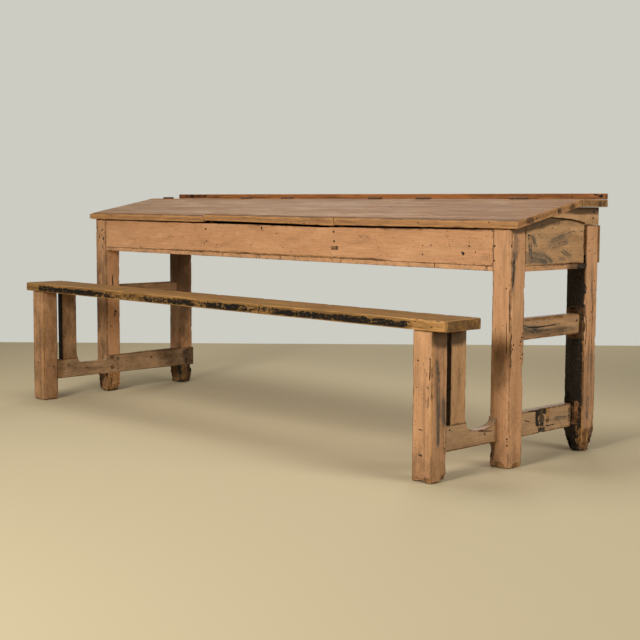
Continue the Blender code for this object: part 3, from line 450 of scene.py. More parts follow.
def brush_stroke(points, start, end, half, strength):
    """A dry brush mark: strong on its line and gone at half its width, drawn out into hairs by a random
    height that is long along the stroke and 3 mm across."""
    start, end = np.array(start), np.array(end)
    length = np.linalg.norm(end - start)
    along = (end - start) / length
    side = np.cross(along, (0.3, 0.5, 0.8))
    side /= np.linalg.norm(side)
    other = np.cross(along, side)
    away = points - start
    share = away @ along / length
    far = np.linalg.norm(away - np.outer(np.clip(share, 0, 1) * length, along), axis=1)
    hairs = uneven(np.stack([away @ along, away @ side, away @ other], axis=-1), (0.050, 0.0034, 0.0034), 61)
    ends = soft_step(share, -0.05, 0.25) * (1 - soft_step(share, 0.75, 1.05))
    across = 1 - soft_step(far / half, 0.10, 1.0)
    return strength * ends * across * (0.55 + 0.45 * soft_step(hairs, -0.40, 0.40))


def coat(points, low, high, strength):
    """Paint left inside a box, with a torn border: how far each point is outside the box, plus a random
    height of up to 10 mm and of 0.4 of the box's thinnest side, goes from full to none over 4 mm."""
    outside = np.max(np.maximum(np.array(low) - points, points - np.array(high)), axis=1)
    thin = min(np.array(high) - np.array(low))
    torn = min(0.010, 0.4 * thin) * rough(points, 0.018, 67, 4)
    return strength * (1 - soft_step(outside + torn, -0.001, 0.003))


def fault_marks(points, faults):
    """Each stain's strength at each point. Holes and the beds of splits are as dark as tar, but a split
    that is under 2.1 mm deep is a weaker hairline."""
    marks = {kind: soft_spots(points, faults.get(kind, ())) for kind in ("tar", "wash", "bare", "grime")}
    for kind, start, end, half, strength in faults.get("strokes", ()):
        marks[kind] = np.maximum(marks[kind], brush_stroke(points, start, end, half, strength))
    for kind, low, high, strength in faults.get("coats", ()):
        marks[kind] = np.maximum(marks[kind], coat(points, low, high, strength))
    for x, y, z, radius in faults.get("holes", ()):
        far = np.linalg.norm(points - (x, y, z), axis=1)
        marks["tar"] = np.maximum(marks["tar"], 1.2 * (1 - soft_step(far, 0.7 * radius, 1.25 * radius)))
    for path, width, deep in faults.get("splits", ()):
        far, share = distance_to_path(points, path)
        shade = 0.62 if deep < 0.0021 else 1.1
        open_part = np.clip(5 * share, 0, 1) * np.clip(5 * (1 - share), 0, 1)
        bed = 1 - soft_step(far, 0.4 * width, 1.3 * width)
        marks["tar"] = np.maximum(marks["tar"], shade * open_part * bed)
    return marks


def fault_depth(points, faults):
    """How deep the holes, splits and hollows go at each point."""
    depth = np.zeros(len(points))
    for x, y, z, radius in faults.get("holes", ()):
        far = np.linalg.norm(points - (x, y, z), axis=1)
        depth = np.maximum(depth, 0.004 * (1 - soft_step(far, 0.3 * radius, 1.1 * radius)))
    for path, width, deep in faults.get("splits", ()):
        depth = np.maximum(depth, crack(points, path, width, deep))
    uneven_bed = 0.7 + 0.3 * rough(points, 0.012, 77, 2)
    for x, y, z, rx, ry, rz, deep in faults.get("hollows", ()):
        depth = np.maximum(depth, soft_spots(points, [(x, y, z, rx, ry, rz, deep)]) * uneven_bed)
    return depth


def close_up(name, along, fine=(), flat=None):
    """Extra stations along a piece and across it where its small faults are. flat(place) turns a world
    place into the straight board's own, where the board is bent afterwards."""
    faults = FAULTS.get(name, {})
    flat = flat or (lambda place: place)
    lists = {0: [], 1: [], 2: []}
    for x, y, z, radius in faults.get("holes", ()):
        place = flat((x, y, z))
        for axis in range(3):
            lists[axis].append((place[axis], radius + 0.0016, 0.0012))
    for path, width, _ in faults.get("splits", ()):
        places = np.array([flat(place) for place in path])
        for axis in range(3):
            low, high = places[:, axis].min(), places[:, axis].max()
            if high - low < 0.030:
                lists[axis].append(((low + high) / 2, (high - low) / 2 + width + 0.001, 0.0013))
    return {"fine": list(fine) + lists[along],
            "fine_a": lists[(along + 1) % 3],
            "fine_b": lists[(along + 2) % 3]}


# Boards

def stations(start, end, step, fine=()):
    """Places from start to end no more than a step apart, and closer round each (middle, reach, step)."""
    lists = [np.linspace(start, end, max(2, int(math.ceil((end - start) / step)) + 1))]
    for middle, reach, close in fine:
        lists.append(np.arange(max(start, middle - reach), min(end, middle + reach), close))
    places = np.unique(np.concatenate(lists))
    keep = np.concatenate([[True], np.diff(places) > 0.0003])
    keep[-1] = True
    return places[keep]


def side_shares(low, high, step, fine):
    """Shares along one side of a section, close to its two corners as well as every step."""
    if high - low < 0.004:
        return np.array([0.06, 0.5, 0.94])
    places = stations(0.0, high - low, step, [(m - low, r, s) for m, r, s in fine if low < m < high])
    shares = places / (high - low)
    shares = np.unique(np.concatenate([[0.0012 / (high - low), 1 - 0.0012 / (high - low)], shares[1:-1]]))
    return shares[(shares > 0.0004) & (shares < 0.9996)]


def arris(base, chips, seed, every=0.05):
    """The radius of each long arris at each station: an even part, a slow drift, and chips where a
    finer random height passes a threshold."""
    def radius(places, corner):
        line = np.stack([places, np.full_like(places, 3.7 * corner), np.zeros_like(places)], axis=-1)
        drift = rough(line, every * 4, seed + corner, 2)
        chip = np.clip(rough(line, every, seed + 17 + corner, 3) - 0.22, 0, 1)
        return base * (1 + 0.45 * drift) + chips * chip * 2.2
    return radius


def stave(along, low, high, *, step=0.008, cross=0.008, wear=None, end=0.002, bounds=None, bend=None,
          fine=(), fine_a=(), fine_b=(), arc=4, cap=0.010, coarse_back=False):
    """The grid of a board that runs along one axis. At each station its section is a rectangle with four
    rounded corners: a side point is a share of the way between two corners' radii, and a corner point is
    the corner's centre plus its radius times (cos, sin). At both ends the section draws in along a quarter
    circle and then in smaller and smaller rings to a line, which closes the board. bounds(places) gives
    the four sides, each as one number or one for each station, and bend(points) turns the straight board
    into the real one. With coarse_back the side that looks to high a has no fine places, and on the two
    closing lines the other side's points move to the nearest of its, so that the ends stay closed."""
    a, b = (along + 1) % 3, (along + 2) % 3
    start, stop = low[along], high[along]
    wear = wear or arris(0.002, 0.002, 1)
    half = 0.5 * min(high[a] - low[a], high[b] - low[b])
    inner = stations(start + end, stop - end, step, fine)
    turns = np.linspace(0, math.pi / 2, arc + 1)
    reaches = np.linspace(half, end, max(3, int((half - end) / cap) + 2))[:-1]
    flat = np.concatenate([reaches, end * (1 - np.sin(turns[:-1]))])
    rise = np.concatenate([np.zeros(len(reaches)), end * (1 - np.cos(turns[:-1]))])
    places = np.concatenate([start + rise, inner, stop - rise[::-1]])
    inset = np.concatenate([flat, np.zeros(len(inner)), flat[::-1]])

    four = bounds(places) if bounds else (low[a], high[a], low[b], high[b])
    sides = np.array([np.broadcast_to(side, places.shape) for side in four])
    a0, a1, b0, b1 = (side[:, None] for side in sides)
    room = 0.5 * np.minimum(a1 - a0, b1 - b0)
    drawn = np.minimum(inset[:, None], room)
    a0, a1, b0, b1 = a0 + drawn, a1 - drawn, b0 + drawn, b1 - drawn
    radii = np.stack([wear(places, corner) for corner in range(4)], axis=1)
    radii = np.clip(radii - inset[:, None], 0, 0.98 * np.maximum(room - drawn, 0))

    share_a = side_shares(low[a], high[a], cross, fine_a)
    share_b = side_shares(low[b], high[b], cross, fine_b)
    share_back = side_shares(low[b], high[b], cross, ()) if coarse_back else share_b
    curve = np.linspace(0, math.pi / 2, arc + 1)
    first, second = [], []
    for corner in range(4):
        turn = curve + corner * math.pi / 2
        at_a = a1 if corner in (0, 3) else a0
        at_b = b1 if corner in (0, 1) else b0
        sign_a = 1 if corner in (0, 3) else -1
        sign_b = 1 if corner in (0, 1) else -1
        r = radii[:, corner:corner + 1]
        first.append(at_a - sign_a * r + r * np.cos(turn))
        second.append(at_b - sign_b * r + r * np.sin(turn))
        if corner in (0, 2):
            shares = share_a if corner == 2 else share_a[::-1]
            left = a0 + (radii[:, 1:2] if corner == 0 else radii[:, 2:3])
            right = a1 - (radii[:, 0:1] if corner == 0 else radii[:, 3:4])
            first.append(left + shares * (right - left))
            second.append(np.broadcast_to(at_b, first[-1].shape))
        else:
            shares = share_back if corner == 3 else share_b[::-1]
            bottom = b0 + (radii[:, 2:3] if corner == 1 else radii[:, 3:4])
            top = b1 - (radii[:, 1:2] if corner == 1 else radii[:, 0:1])
            second.append(bottom + shares * (top - bottom))
            if coarse_back and corner == 1:
                stops = np.concatenate([[0.0], share_back, [1.0]])
                nearest = stops[np.abs(shares[:, None] - stops).argmin(axis=1)]
                for row in (0, -1):
                    second[-1][row] = bottom[row] + nearest * (top[row] - bottom[row])
            first.append(np.broadcast_to(at_a, second[-1].shape))
    points = np.zeros((len(places), sum(x.shape[1] for x in first), 3))
    points[..., along] = places[:, None]
    points[..., a] = np.concatenate(first, axis=1)
    points[..., b] = np.concatenate(second, axis=1)
    gaps = np.stack([
        np.minimum(points[..., a] - sides[0][:, None], sides[1][:, None] - points[..., a]),
        np.minimum(points[..., b] - sides[2][:, None], sides[3][:, None] - points[..., b]),
        np.minimum(points[..., along] - start, stop - points[..., along]),
    ], axis=-1)
    edge = np.clip(np.sort(gaps, axis=-1)[..., 1], 0, 0.05)
    if bend is not None:
        points = bend(points)
    return points, edge


def outward(bm):
    """Turns a closed mesh's faces to point out of it."""
    bm.normal_update()
    if bm.calc_volume(signed=True) < 0:
        bmesh.ops.reverse_faces(bm, faces=bm.faces)


def write_values(mesh, key, values):
    """Keeps a number for each of a mesh's points, where its material can read it."""
    mesh.attributes.new(key, "FLOAT", "POINT").data.foreach_set("value", values.astype(np.float32))


def board(name, body, material, grid, weather, marks=None, stands_for=()):
    """Makes the object of a stave's grid. weather(points, normals) gives how deep the surface is worn at
    each point, which then moves inwards by that much, and marks(points, normals) gives named values that
    the paint reads."""
    points, edge = grid
    rows, columns = points.shape[:2]
    index = np.arange(rows * columns).reshape(rows, columns)
    right = np.roll(index, -1, axis=1)
    quads = np.stack([index[:-1], right[:-1], right[1:], index[1:]], axis=-1).reshape(-1, 4)
    mesh = bpy.data.meshes.new(name)
    mesh.from_pydata(points.reshape(-1, 3), [], quads)
    write_values(mesh, "edge", edge.ravel())
    bm = bmesh.new()
    bm.from_mesh(mesh)
    bmesh.ops.remove_doubles(bm, verts=bm.verts, dist=2e-6)
    bmesh.ops.dissolve_degenerate(bm, edges=bm.edges, dist=1e-7)
    outward(bm)
    bm.to_mesh(mesh)
    bm.free()
    mesh.shade_smooth()
    count = len(mesh.vertices)
    places, normals = np.zeros(count * 3, np.float32), np.zeros(count * 3, np.float32)
    mesh.vertices.foreach_get("co", places)
    mesh.vertex_normals.foreach_get("vector", normals)
    places, normals = places.reshape(-1, 3).astype(float), normals.reshape(-1, 3).astype(float)
    faults = FAULTS.get(name, {})
    found = fault_marks(places, faults)
    for key, value in (marks(places, normals) if marks else {}).items():
        found[key] = np.maximum(found.get(key, 0.0), value)
    for key, value in found.items():
        write_values(mesh, key, np.clip(value, 0, 1.5))
    depth = np.maximum(weather(places, normals), 0) + fault_depth(places, faults)
    mesh.vertices.foreach_set("co", (places - normals * depth[:, None]).astype(np.float32).ravel())
    mesh.update()
    mesh.materials.append(material)
    piece = bpy.data.objects.new(name, mesh)
    bpy.context.scene.collection.objects.link(piece)
    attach(piece, body)
    if stands_for:
        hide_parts(*stands_for)
    return piece


def distance_to_path(points, path):
    """Distance from each point to the nearest place on a bent line, and the share of the line there."""
    path = np.asarray(path, float)
    lengths = np.linalg.norm(np.diff(path, axis=0), axis=1)
    whole = lengths.sum()
    best, share = np.full(len(points), 9.0), np.zeros(len(points))
    before = 0.0
    for a, b, length in zip(path[:-1], path[1:], lengths):
        t = np.clip((points - a) @ (b - a) / length ** 2, 0, 1)
        far = np.linalg.norm(points - (a + t[:, None] * (b - a)), axis=1)
        closer = far < best
        best = np.where(closer, far, best)
        share = np.where(closer, (before + t * length) / whole, share)
        before += length
    return best, share


def crack(points, path, width, depth):
    """A split along a bent line: deepest in the middle of its width, and closing at both ends."""
    far, share = distance_to_path(points, path)
    across = 1 - soft_step(far, 0.15 * width, width)
    return depth * across * np.clip(6 * share, 0, 1) * np.clip(6 * (1 - share), 0, 1)


def hand_planed(seed, depth=0.0004, size=(0.30, 0.04, 0.04)):
    """Low waves that a plane and years of handling leave, longer along the grain."""
    def wave(points, normals):
        return depth * (0.5 + 0.5 * rough(points, size, seed, 3))
    return wave


def grain_size(along, length=0.30, width=0.04):
    return tuple(length if axis == along else width for axis in range(3))


def worn_foot(seed, reach, loss):
    """Wood lost round a foot: chips that grow towards the floor, the more the closer to an arris."""
    def lost(points, normals):
        near_floor = 1 - soft_step(points[:, 2], 0.1 * reach, reach)
        lump = np.clip(rough(points, 0.03, seed, 3) + 0.35, 0, 1)
        sideways = 1 - np.abs(normals[:, 2]) * 0.75
        return loss * near_floor * lump * sideways
    return lost


def crumbled(seed, reach, deep):
    """Rotten wood: pits of 10 mm with sharp rims, deepest at the floor."""
    def lost(points, normals):
        near_floor = 1 - soft_step(points[:, 2], 0.4 * reach, reach)
        pits = 1 - np.abs(rough(points, (0.011, 0.011, 0.016), seed, 3)) * 2.2
        return deep * near_floor * np.clip(pits, 0, 1) * (1 - 0.8 * np.abs(normals[:, 2]))
    return lost


def together(*layers):
    """The sum of several kinds of wear."""
    def total(points, normals):
        return sum(layer(points, normals) for layer in layers)
    return total


# Shader building

class Nodes:
    """A node tree, with short ways to add the nodes that the materials here are made of."""

    def __init__(self, tree):
        self.tree = tree

    def add(self, kind, inputs=None, **settings):
        """Adds a node, with its settings, and its inputs either joined to a socket or set to a value."""
        node = self.tree.nodes.new(kind)
        for key, value in settings.items():
            setattr(node, key, value)
        for key, value in (inputs or {}).items():
            if isinstance(value, bpy.types.NodeSocket):
                self.tree.links.new(value, node.inputs[key])
            else:
                node.inputs[key].default_value = value
        return node

    def math(self, operation, a, b):
        return self.add("ShaderNodeMath", {0: a, 1: b}, operation=operation).outputs[0]

    def plus(self, first, *others):
        for other in others:
            first = self.math("ADD", first, other)
        return first

    def minus(self, a, b):
        return self.math("SUBTRACT", a, b)

    def times(self, a, b):
        return self.math("MULTIPLY", a, b)

    def between(self, value, low, high, to_low=0.0, to_high=1.0):
        """Smooth steps from one value to another while the input goes from low to high."""
        return self.add("ShaderNodeMapRange", {0: value, 1: low, 2: high, 3: to_low, 4: to_high},
                        interpolation_type="SMOOTHSTEP").outputs[0]

    def blend(self, share, a, b, kind="MIX"):
        node = self.add("ShaderNodeMix", {0: share, 6: a, 7: b}, data_type="RGBA", blend_type=kind)
        return node.outputs[2]

    def layers(self, surface, *rows):
        """Lays colours over a surface. A row is a value, the two places between which the layer's share
        goes from one number to another, those two numbers, and the colour."""
        for value, low, high, to_low, to_high, tint in rows:
            surface = self.blend(self.between(value, low, high, to_low, to_high), surface, tint)
        return surface

    def noise(self, place, scale, detail=4.0, roughness=0.55, distortion=0.0):
        """Noise on coordinates multiplied by a scale for each axis."""
        moved = self.add("ShaderNodeVectorMath", {0: place, 1: scale}, operation="MULTIPLY").outputs[0]
        return self.add("ShaderNodeTexNoise", {"Vector": moved, "Scale": 1.0, "Detail": detail,
                                               "Roughness": roughness, "Distortion": distortion}).outputs[0]


def new_group(name, inputs, outputs):
    """An empty shader group with its sockets: inputs as (name, type, value), and the outputs' names."""
    group = bpy.data.node_groups.new(name, "ShaderNodeTree")
    for label, kind, value in inputs:
        socket = group.interface.new_socket(label, in_out="INPUT", socket_type=kind)
        if value is not None:
            socket.default_value = value
    for label in outputs:
        group.interface.new_socket(label, in_out="OUTPUT", socket_type="NodeSocketFloat")
    return Nodes(group), group.nodes.new("NodeGroupInput").outputs, group.nodes.new("NodeGroupOutput").inputs


def timber_grain():
    """Wood grain along X: broad streaks, fine fibres, slow blotches, small dark pits and chips."""
    labels = ("Streak", "Fibre", "Blotch", "Pit", "Chip")
    n, given, out = new_group("timber_grain", [("Place", "NodeSocketVector", None)], labels)
    place = given["Place"]
    specks = n.noise(place, (60.0, 210.0, 210.0), 2.0, 0.5)
    region = n.noise(place, (7.0, 16.0, 16.0), 2.0, 0.5)
    values = (n.noise(place, (1.6, 42.0, 42.0), 5.0, 0.6, 0.4),
              n.noise(place, (9.0, 420.0, 420.0), 3.0, 0.65),
              n.noise(place, (3.2, 9.0, 9.0), 4.0, 0.6, 0.6),
              n.times(n.between(specks, 0.66, 0.72), n.between(region, 0.48, 0.60)),
              n.noise(place, (34.0, 85.0, 85.0), 6.0, 0.7))
    for label, value in zip(labels, values):
        n.tree.links.new(value, out[label])
    return n.tree


def paint_loss():
    """Where paint has gone: in chips along the arrises, in streaks along the grain, and where the piece is
    marked bare. Rim is the dark line round each bare place."""
    start = {"Edge": 0.05, "Wear": 0.5, "Bare": 0.0, "Streak": 0.5, "Chip": 0.5, "Blotch": 0.5}
    inputs = [(label, "NodeSocketFloat", value) for label, value in start.items()]
    n, given, out = new_group("paint_loss", inputs, ("Gone", "Rim"))
    pull = n.times(n.between(given["Edge"], 0.001, 0.009, 1.0, 0.0), given["Wear"])
    noise = n.plus(n.times(given["Streak"], 0.30),
                   n.plus(n.times(given["Chip"], 0.45), n.times(given["Blotch"], 0.25)))
    total = n.plus(noise, n.times(pull, 0.34), n.times(given["Bare"], 0.34))
    gone = n.between(total, 0.70, 0.74)
    n.tree.links.new(gone, out["Gone"])
    n.tree.links.new(n.times(n.between(total, 0.65, 0.70), n.minus(1.0, gone)), out["Rim"])
    return n.tree


def colour(red, green, blue):
    """A screen colour from 0 to 255 as light from 0 to 1."""
    return tuple(c / 12.92 if c <= 0.04045 else ((c + 0.055) / 1.055) ** 2.4
                 for c in (red / 255, green / 255, blue / 255)) + (1.0,)


GRAIN = timber_grain()
LOSS = paint_loss()
OCHRE_WOOD = colour(182, 134, 78)
BROWN_WOOD = colour(106, 72, 42)
TAR = colour(30, 24, 17)
SOOT = colour(62, 44, 28)
WASH = colour(74, 72, 66)
# The turn that lays a piece's grain, which runs along one axis, on X
GRAIN_TURNS = {0: (0.0, 0.0, 0.0), 1: (0.0, 0.0, -math.pi / 2), 2: (0.0, math.pi / 2, 0.0)}


def started(name, along, shift):
    """A new material's nodes with its shader, its grain and the marks of the piece."""
    material = bpy.data.materials.new(name)
    material.use_nodes = True
    tree = material.node_tree
    tree.nodes.clear()
    out = tree.nodes.new("ShaderNodeOutputMaterial")
    shader = tree.nodes.new("ShaderNodeBsdfPrincipled")
    tree.links.new(shader.outputs[0], out.inputs[0])
    n = Nodes(tree)
    place = n.add("ShaderNodeTexCoord").outputs["Object"]
    mapped = n.add("ShaderNodeMapping", {0: place, 1: shift, 2: GRAIN_TURNS[along]}).outputs[0]
    grain = n.add("ShaderNodeGroup", node_tree=GRAIN)
    tree.links.new(mapped, grain.inputs["Place"])
    mark = {key: n.add("ShaderNodeAttribute", attribute_name=key, attribute_type="GEOMETRY").outputs["Fac"]
            for key in ("edge", "bare", "tar", "wash", "grime", "film")}
    return material, n, shader, mapped, grain.outputs, mark


def join_up(n, shader, surface, roughness, specular, height, strength):
    """Gives a shader its colour, its roughness and its small heights."""
    bump = n.add("ShaderNodeBump", {"Strength": strength, "Distance": 0.0006, "Height": height})
    n.tree.links.new(surface, shader.inputs["Base Color"])
    n.tree.links.new(roughness, shader.inputs["Roughness"])
    n.tree.links.new(bump.outputs[0], shader.inputs["Normal"])
    shader.inputs["Specular IOR Level"].default_value = specular


def broken_black(n, mapped, tar, dirt, chips):
    """The tar mark plus slow dirt, chips and fine flecks: a weak mark gives flecks, a strong one all."""
    flecks = n.noise(mapped, (110.0, 190.0, 190.0), 4.0, 0.65)
    return n.plus(tar, n.times(dirt, 0.4), n.times(chips, 0.4), n.times(flecks, 2.2)), flecks


def old_paint(name, along, fresh, faded, wear=0.5, grime=0.35, streak=0.35, shift=(0.0, 0.0, 0.0)):
    """Old flat paint on a board: faded in blotches, streaked along the grain, chipped to the wood at the
    arrises, with a grey wash, tar, grime and painted shade where the piece is marked."""
    material, n, shader, mapped, grain, mark = started(name, along, shift)
    streaks, fibres, blotches, chips = (grain[key] for key in ("Streak", "Fibre", "Blotch", "Chip"))
    loss = n.add("ShaderNodeGroup", {"Edge": mark["edge"], "Wear": wear, "Bare": mark["bare"],
                                     "Streak": streaks, "Chip": chips, "Blotch": blotches},
                 node_tree=LOSS).outputs
    rubbed = n.noise(mapped, (5.0, 16.0, 16.0), 6.0, 0.7, 0.8)
    smudge = n.noise(mapped, (28.0, 52.0, 52.0), 6.0, 0.78, 0.4)
    paint = n.layers(fresh,
                     (blotches, 0.36, 0.64, 0.0, 1.0, faded),
                     (rubbed, 0.50, 0.70, 0.0, 0.45, colour(218, 170, 124)),
                     (rubbed, 0.32, 0.48, 0.45, 0.0, colour(150, 110, 72)),
                     (smudge, 0.52, 0.70, 0.0, 0.38, colour(134, 98, 62)),
                     (smudge, 0.30, 0.44, 0.30, 0.0, colour(214, 176, 136)),
                     (streaks, 0.50, 0.70, 0.0, streak, BROWN_WOOD))
    light_line = n.between(fibres, 0.35, 0.75, 0.86, 1.12)
    grey = n.add("ShaderNodeCombineColor", {channel: light_line for channel in range(3)}).outputs[0]
    specks = n.noise(mapped, (95.0, 150.0, 150.0), 2.0, 0.6)
    paint = n.layers(n.blend(1.0, paint, grey, "MULTIPLY"), (specks, 0.655, 0.70, 0.0, 0.65, SOOT))
    cloud = n.noise(mapped, (60.0, 110.0, 110.0), 5.0, 0.75, 0.6)
    washed = n.between(n.plus(mark["wash"], n.times(cloud, 0.9)), 0.70, 1.85)
    paint = n.blend(n.times(washed, 0.90), paint, WASH)
    timber = n.layers(OCHRE_WOOD, (n.plus(streaks, chips), 0.90, 1.16, 0.0, 1.0, BROWN_WOOD))
    surface = n.blend(loss["Gone"], paint, timber)
    surface = n.blend(n.times(loss["Rim"], 0.60), surface, SOOT)
    surface = n.blend(n.times(grain["Pit"], 0.8), surface, TAR)
    dirt = n.noise(mapped, (14.0, 30.0, 30.0), 5.0, 0.7)
    # Grime and painted shade: the grime mark, with slow dirt, darkens the surface towards dark brown.
    soiled = n.between(n.plus(n.times(mark["grime"], 0.75), dirt), 0.58, 1.3)
    surface = n.blend(n.times(soiled, 0.55 + grime), surface, colour(70, 50, 27))
    black, flecks = broken_black(n, mapped, mark["tar"], dirt, chips)
    tarred = n.between(black, 1.97, 2.17)
    surface = n.blend(tarred, surface, n.layers(TAR, (rubbed, 0.50, 0.70, 0.0, 1.0, colour(54, 45, 34)),
                                                (flecks, 0.50, 0.68, 0.0, 0.7, colour(88, 74, 54))))
    height = n.plus(n.times(fibres, 0.35), n.times(streaks, 0.5))
    height = n.minus(n.minus(height, n.times(loss["Gone"], 0.55)), n.times(grain["Pit"], 1.2))
    height = n.plus(height, n.times(tarred, 0.5))
    dull = n.between(n.plus(fibres, loss["Gone"]), 0.3, 1.6, 0.60, 0.86)
    join_up(n, shader, surface, dull, 0.3, height, 0.7)
    return material


def handled_wood(name, along, pale, deep, film=None, edge_wood=OCHRE_WOOD, roughness=0.62,
                 shift=(0.0, 0.0, 0.0)):
    """Bare or thinly painted wood: rings drawn out along the grain, darker fibres, a thin film of old
    paint where marked, pale worn arrises, and tar, grime and painted shade where marked."""
    material, n, shader, mapped, grain, mark = started(name, along, shift)
    fibres, blotches, chips, pits = (grain[key] for key in ("Fibre", "Blotch", "Chip", "Pit"))
    warp = n.noise(mapped, (1.3, 6.0, 6.0), 3.0, 0.5)
    aside = n.add("ShaderNodeCombineXYZ", {1: n.times(warp, 0.16), 2: n.times(warp, 0.10)}).outputs[0]
    bent = n.add("ShaderNodeVectorMath", {0: mapped, 1: aside}, operation="ADD").outputs[0]
    rings = n.noise(bent, (0.9, 95.0, 95.0), 4.0, 0.6, 0.3)
    timber = n.layers(pale,
                      (rings, 0.34, 0.66, 0.0, 1.0, deep),
                      (blotches, 0.45, 0.8, 0.0, 0.45, deep),
                      (fibres, 0.55, 0.8, 0.0, 0.35, BROWN_WOOD))
    if film is None:
        rubbed = n.noise(mapped, (7.0, 40.0, 40.0), 6.0, 0.75, 0.5)
        timber = n.layers(timber,
                          (rubbed, 0.52, 0.68, 0.0, 0.45, edge_wood),
                          (rubbed, 0.32, 0.46, 0.50, 0.0, deep))
    else:
        thin = n.minus(mark["film"], n.plus(n.times(rings, 0.30), n.times(blotches, 0.35)))
        scuffs = n.noise(mapped, (3.0, 60.0, 60.0), 6.0, 0.75, 0.5)
        patches = n.noise(mapped, (3.6, 24.0, 24.0), 6.0, 0.80, 0.3)
        timber = n.layers(timber,
                          (thin, 0.28, 0.72, 0.0, 0.9, film),
                          (scuffs, 0.54, 0.70, 0.0, 0.55, pale),
                          (scuffs, 0.30, 0.42, 0.40, 0.0, deep))
        pale_patch = n.times(n.between(patches, 0.50, 0.64, 0.0, 0.66), mark["film"])
        timber = n.layers(n.blend(pale_patch, timber, colour(178, 148, 122)),
                          (patches, 0.36, 0.50, 0.62, 0.0, colour(132, 92, 62)))
    worn = n.plus(n.between(mark["edge"], 0.001, 0.008, 0.50, 0.0), n.times(mark["bare"], 0.62),
                  n.times(blotches, 0.5))
    lines = n.noise(mapped, (14.0, 210.0, 210.0), 5.0, 0.7)
    rubbed = n.layers(edge_wood,
                      (lines, 0.44, 0.62, 0.0, 0.62, deep),
                      (chips, 0.58, 0.68, 0.0, 0.6, BROWN_WOOD))
    timber = n.layers(timber, (worn, 0.58, 0.88, 0.0, 0.9, rubbed))
    surface = n.blend(n.times(pits, 0.8), timber, TAR)
    dirt = n.noise(mapped, (14.0, 34.0, 34.0), 5.0, 0.65)
    # Grime and painted shade: the grime mark, with slow dirt, darkens the surface towards dark brown.
    soiled = n.between(n.plus(n.times(mark["grime"], 0.75), dirt), 0.60, 1.2)
    surface = n.blend(n.times(soiled, 0.75), surface, colour(58, 40, 24))
    washed = n.between(n.plus(mark["wash"], n.times(dirt, 0.5)), 0.6, 1.05)
    surface = n.blend(n.times(washed, 0.8), surface, WASH)
    black = broken_black(n, mapped, mark["tar"], dirt, chips)[0]
    surface = n.layers(surface, (black, 2.00, 2.18, 0.0, 1.0, colour(17, 13, 9)))
    height = n.minus(n.plus(n.times(fibres, 0.4), n.times(rings, 0.7)), n.times(pits, 1.0))
    dull = n.between(fibres, 0.3, 0.7, roughness - 0.08, roughness + 0.12)
    join_up(n, shader, surface, dull, 0.22, height, 0.6)
    return material


def old_iron(name, pale, rust, metallic):
    """Dark iron, rusted brown in patches."""
    material = bpy.data.materials.new(name)
    material.use_nodes = True
    n = Nodes(material.node_tree)
    place = n.add("ShaderNodeTexCoord").outputs["Object"]
    patches = n.add("ShaderNodeTexNoise", {"Vector": place, "Scale": 260.0, "Detail": 5.0,
                                           "Roughness": 0.65}).outputs[0]
    rusted = n.between(patches, 0.42, 0.60)
    bump = n.add("ShaderNodeBump", {"Strength": 0.5, "Distance": 0.0003, "Height": patches})
    for label, value in (("Base Color", n.blend(rusted, pale, rust)),
                         ("Metallic", n.between(rusted, 0.0, 1.0, metallic, 0.1)),
                         ("Roughness", n.between(rusted, 0.0, 1.0, 0.45, 0.85)),
                         ("Normal", bump.outputs[0])):
        n.tree.links.new(value, n.tree.nodes["Principled BSDF"].inputs[label])
    return material


leg_paint = old_paint("leg_paint_worn", 2, colour(203, 152, 108), colour(196, 145, 102), wear=0.75)
apron_paint = old_paint("apron_paint_worn", 0, colour(202, 150, 106), colour(197, 144, 100), wear=0.45,
                        grime=0.1, streak=0.10)
end_board_paint = old_paint("end_board_paint_worn", 1, colour(200, 158, 112), colour(186, 144, 100),
                            streak=0.3)
floor_paint = old_paint("floor_paint_worn", 1, colour(208, 156, 110), colour(190, 142, 100), wear=0.35)
mid_rail_paint = old_paint("mid_rail_paint_worn", 1, colour(186, 146, 106), colour(172, 134, 96), wear=0.9)
low_rail_paint = old_paint("low_rail_paint_worn", 1, colour(184, 148, 110), colour(170, 136, 100), wear=0.7)
bench_leg_paint = old_paint("bench_leg_paint_worn", 2, colour(200, 150, 106), colour(190, 142, 100),
                            wear=0.75, shift=(0.4, 0.9, 0.2))
upright_paint = old_paint("upright_paint_worn", 2, colour(196, 152, 106), colour(184, 140, 98),
                          shift=(1.4, 0.3, 0.6))
plug_paint = old_paint("plug_wood_grey", 0, colour(150, 132, 108), colour(136, 118, 96), wear=0.9,
                       shift=(2.1, 0.8, 0.3))
lid_wood = handled_wood("lid_wood_worn", 0, colour(164, 120, 80), colour(116, 84, 58),
                        film=colour(145, 120, 96), edge_wood=colour(190, 140, 88), roughness=0.76)
shelf_wood = handled_wood("shelf_wood_worn", 0, colour(160, 118, 76), colour(112, 82, 52),
                          film=colour(154, 129, 104), edge_wood=colour(172, 132, 82), shift=(0.7, 0.2, 0.4))
strip_wood = handled_wood("strip_wood_worn", 0, colour(156, 98, 48), colour(106, 62, 30),
                          edge_wood=colour(172, 112, 56))
seat_wood = handled_wood("seat_wood_worn", 0, colour(150, 112, 62), colour(110, 78, 40),
                         edge_wood=colour(196, 146, 84), roughness=0.5)
divider_wood = handled_wood("divider_wood_bare", 1, colour(150, 112, 74), colour(112, 78, 48), roughness=0.75)
back_board_wood = handled_wood("back_board_wood_bare", 0, colour(136, 102, 68), colour(98, 70, 44),
                               roughness=0.78)
back_rail_wood = handled_wood("back_rail_wood_bare", 0, colour(140, 104, 68), colour(100, 72, 46),
                              roughness=0.78, shift=(0.3, 0.5, 0.1))
batten_wood = handled_wood("batten_wood_bare", 1, colour(152, 114, 74), colour(112, 80, 50), roughness=0.75,
                           shift=(0.3, 0.1, 0.8))
hinge_iron = old_iron("hinge_iron_painted_over", colour(92, 66, 44), colour(84, 52, 32), 0.15)
nail_iron = old_iron("nail_iron_rusted", colour(44, 38, 34), colour(70, 42, 28), 0.6)


# Shapes of the pieces

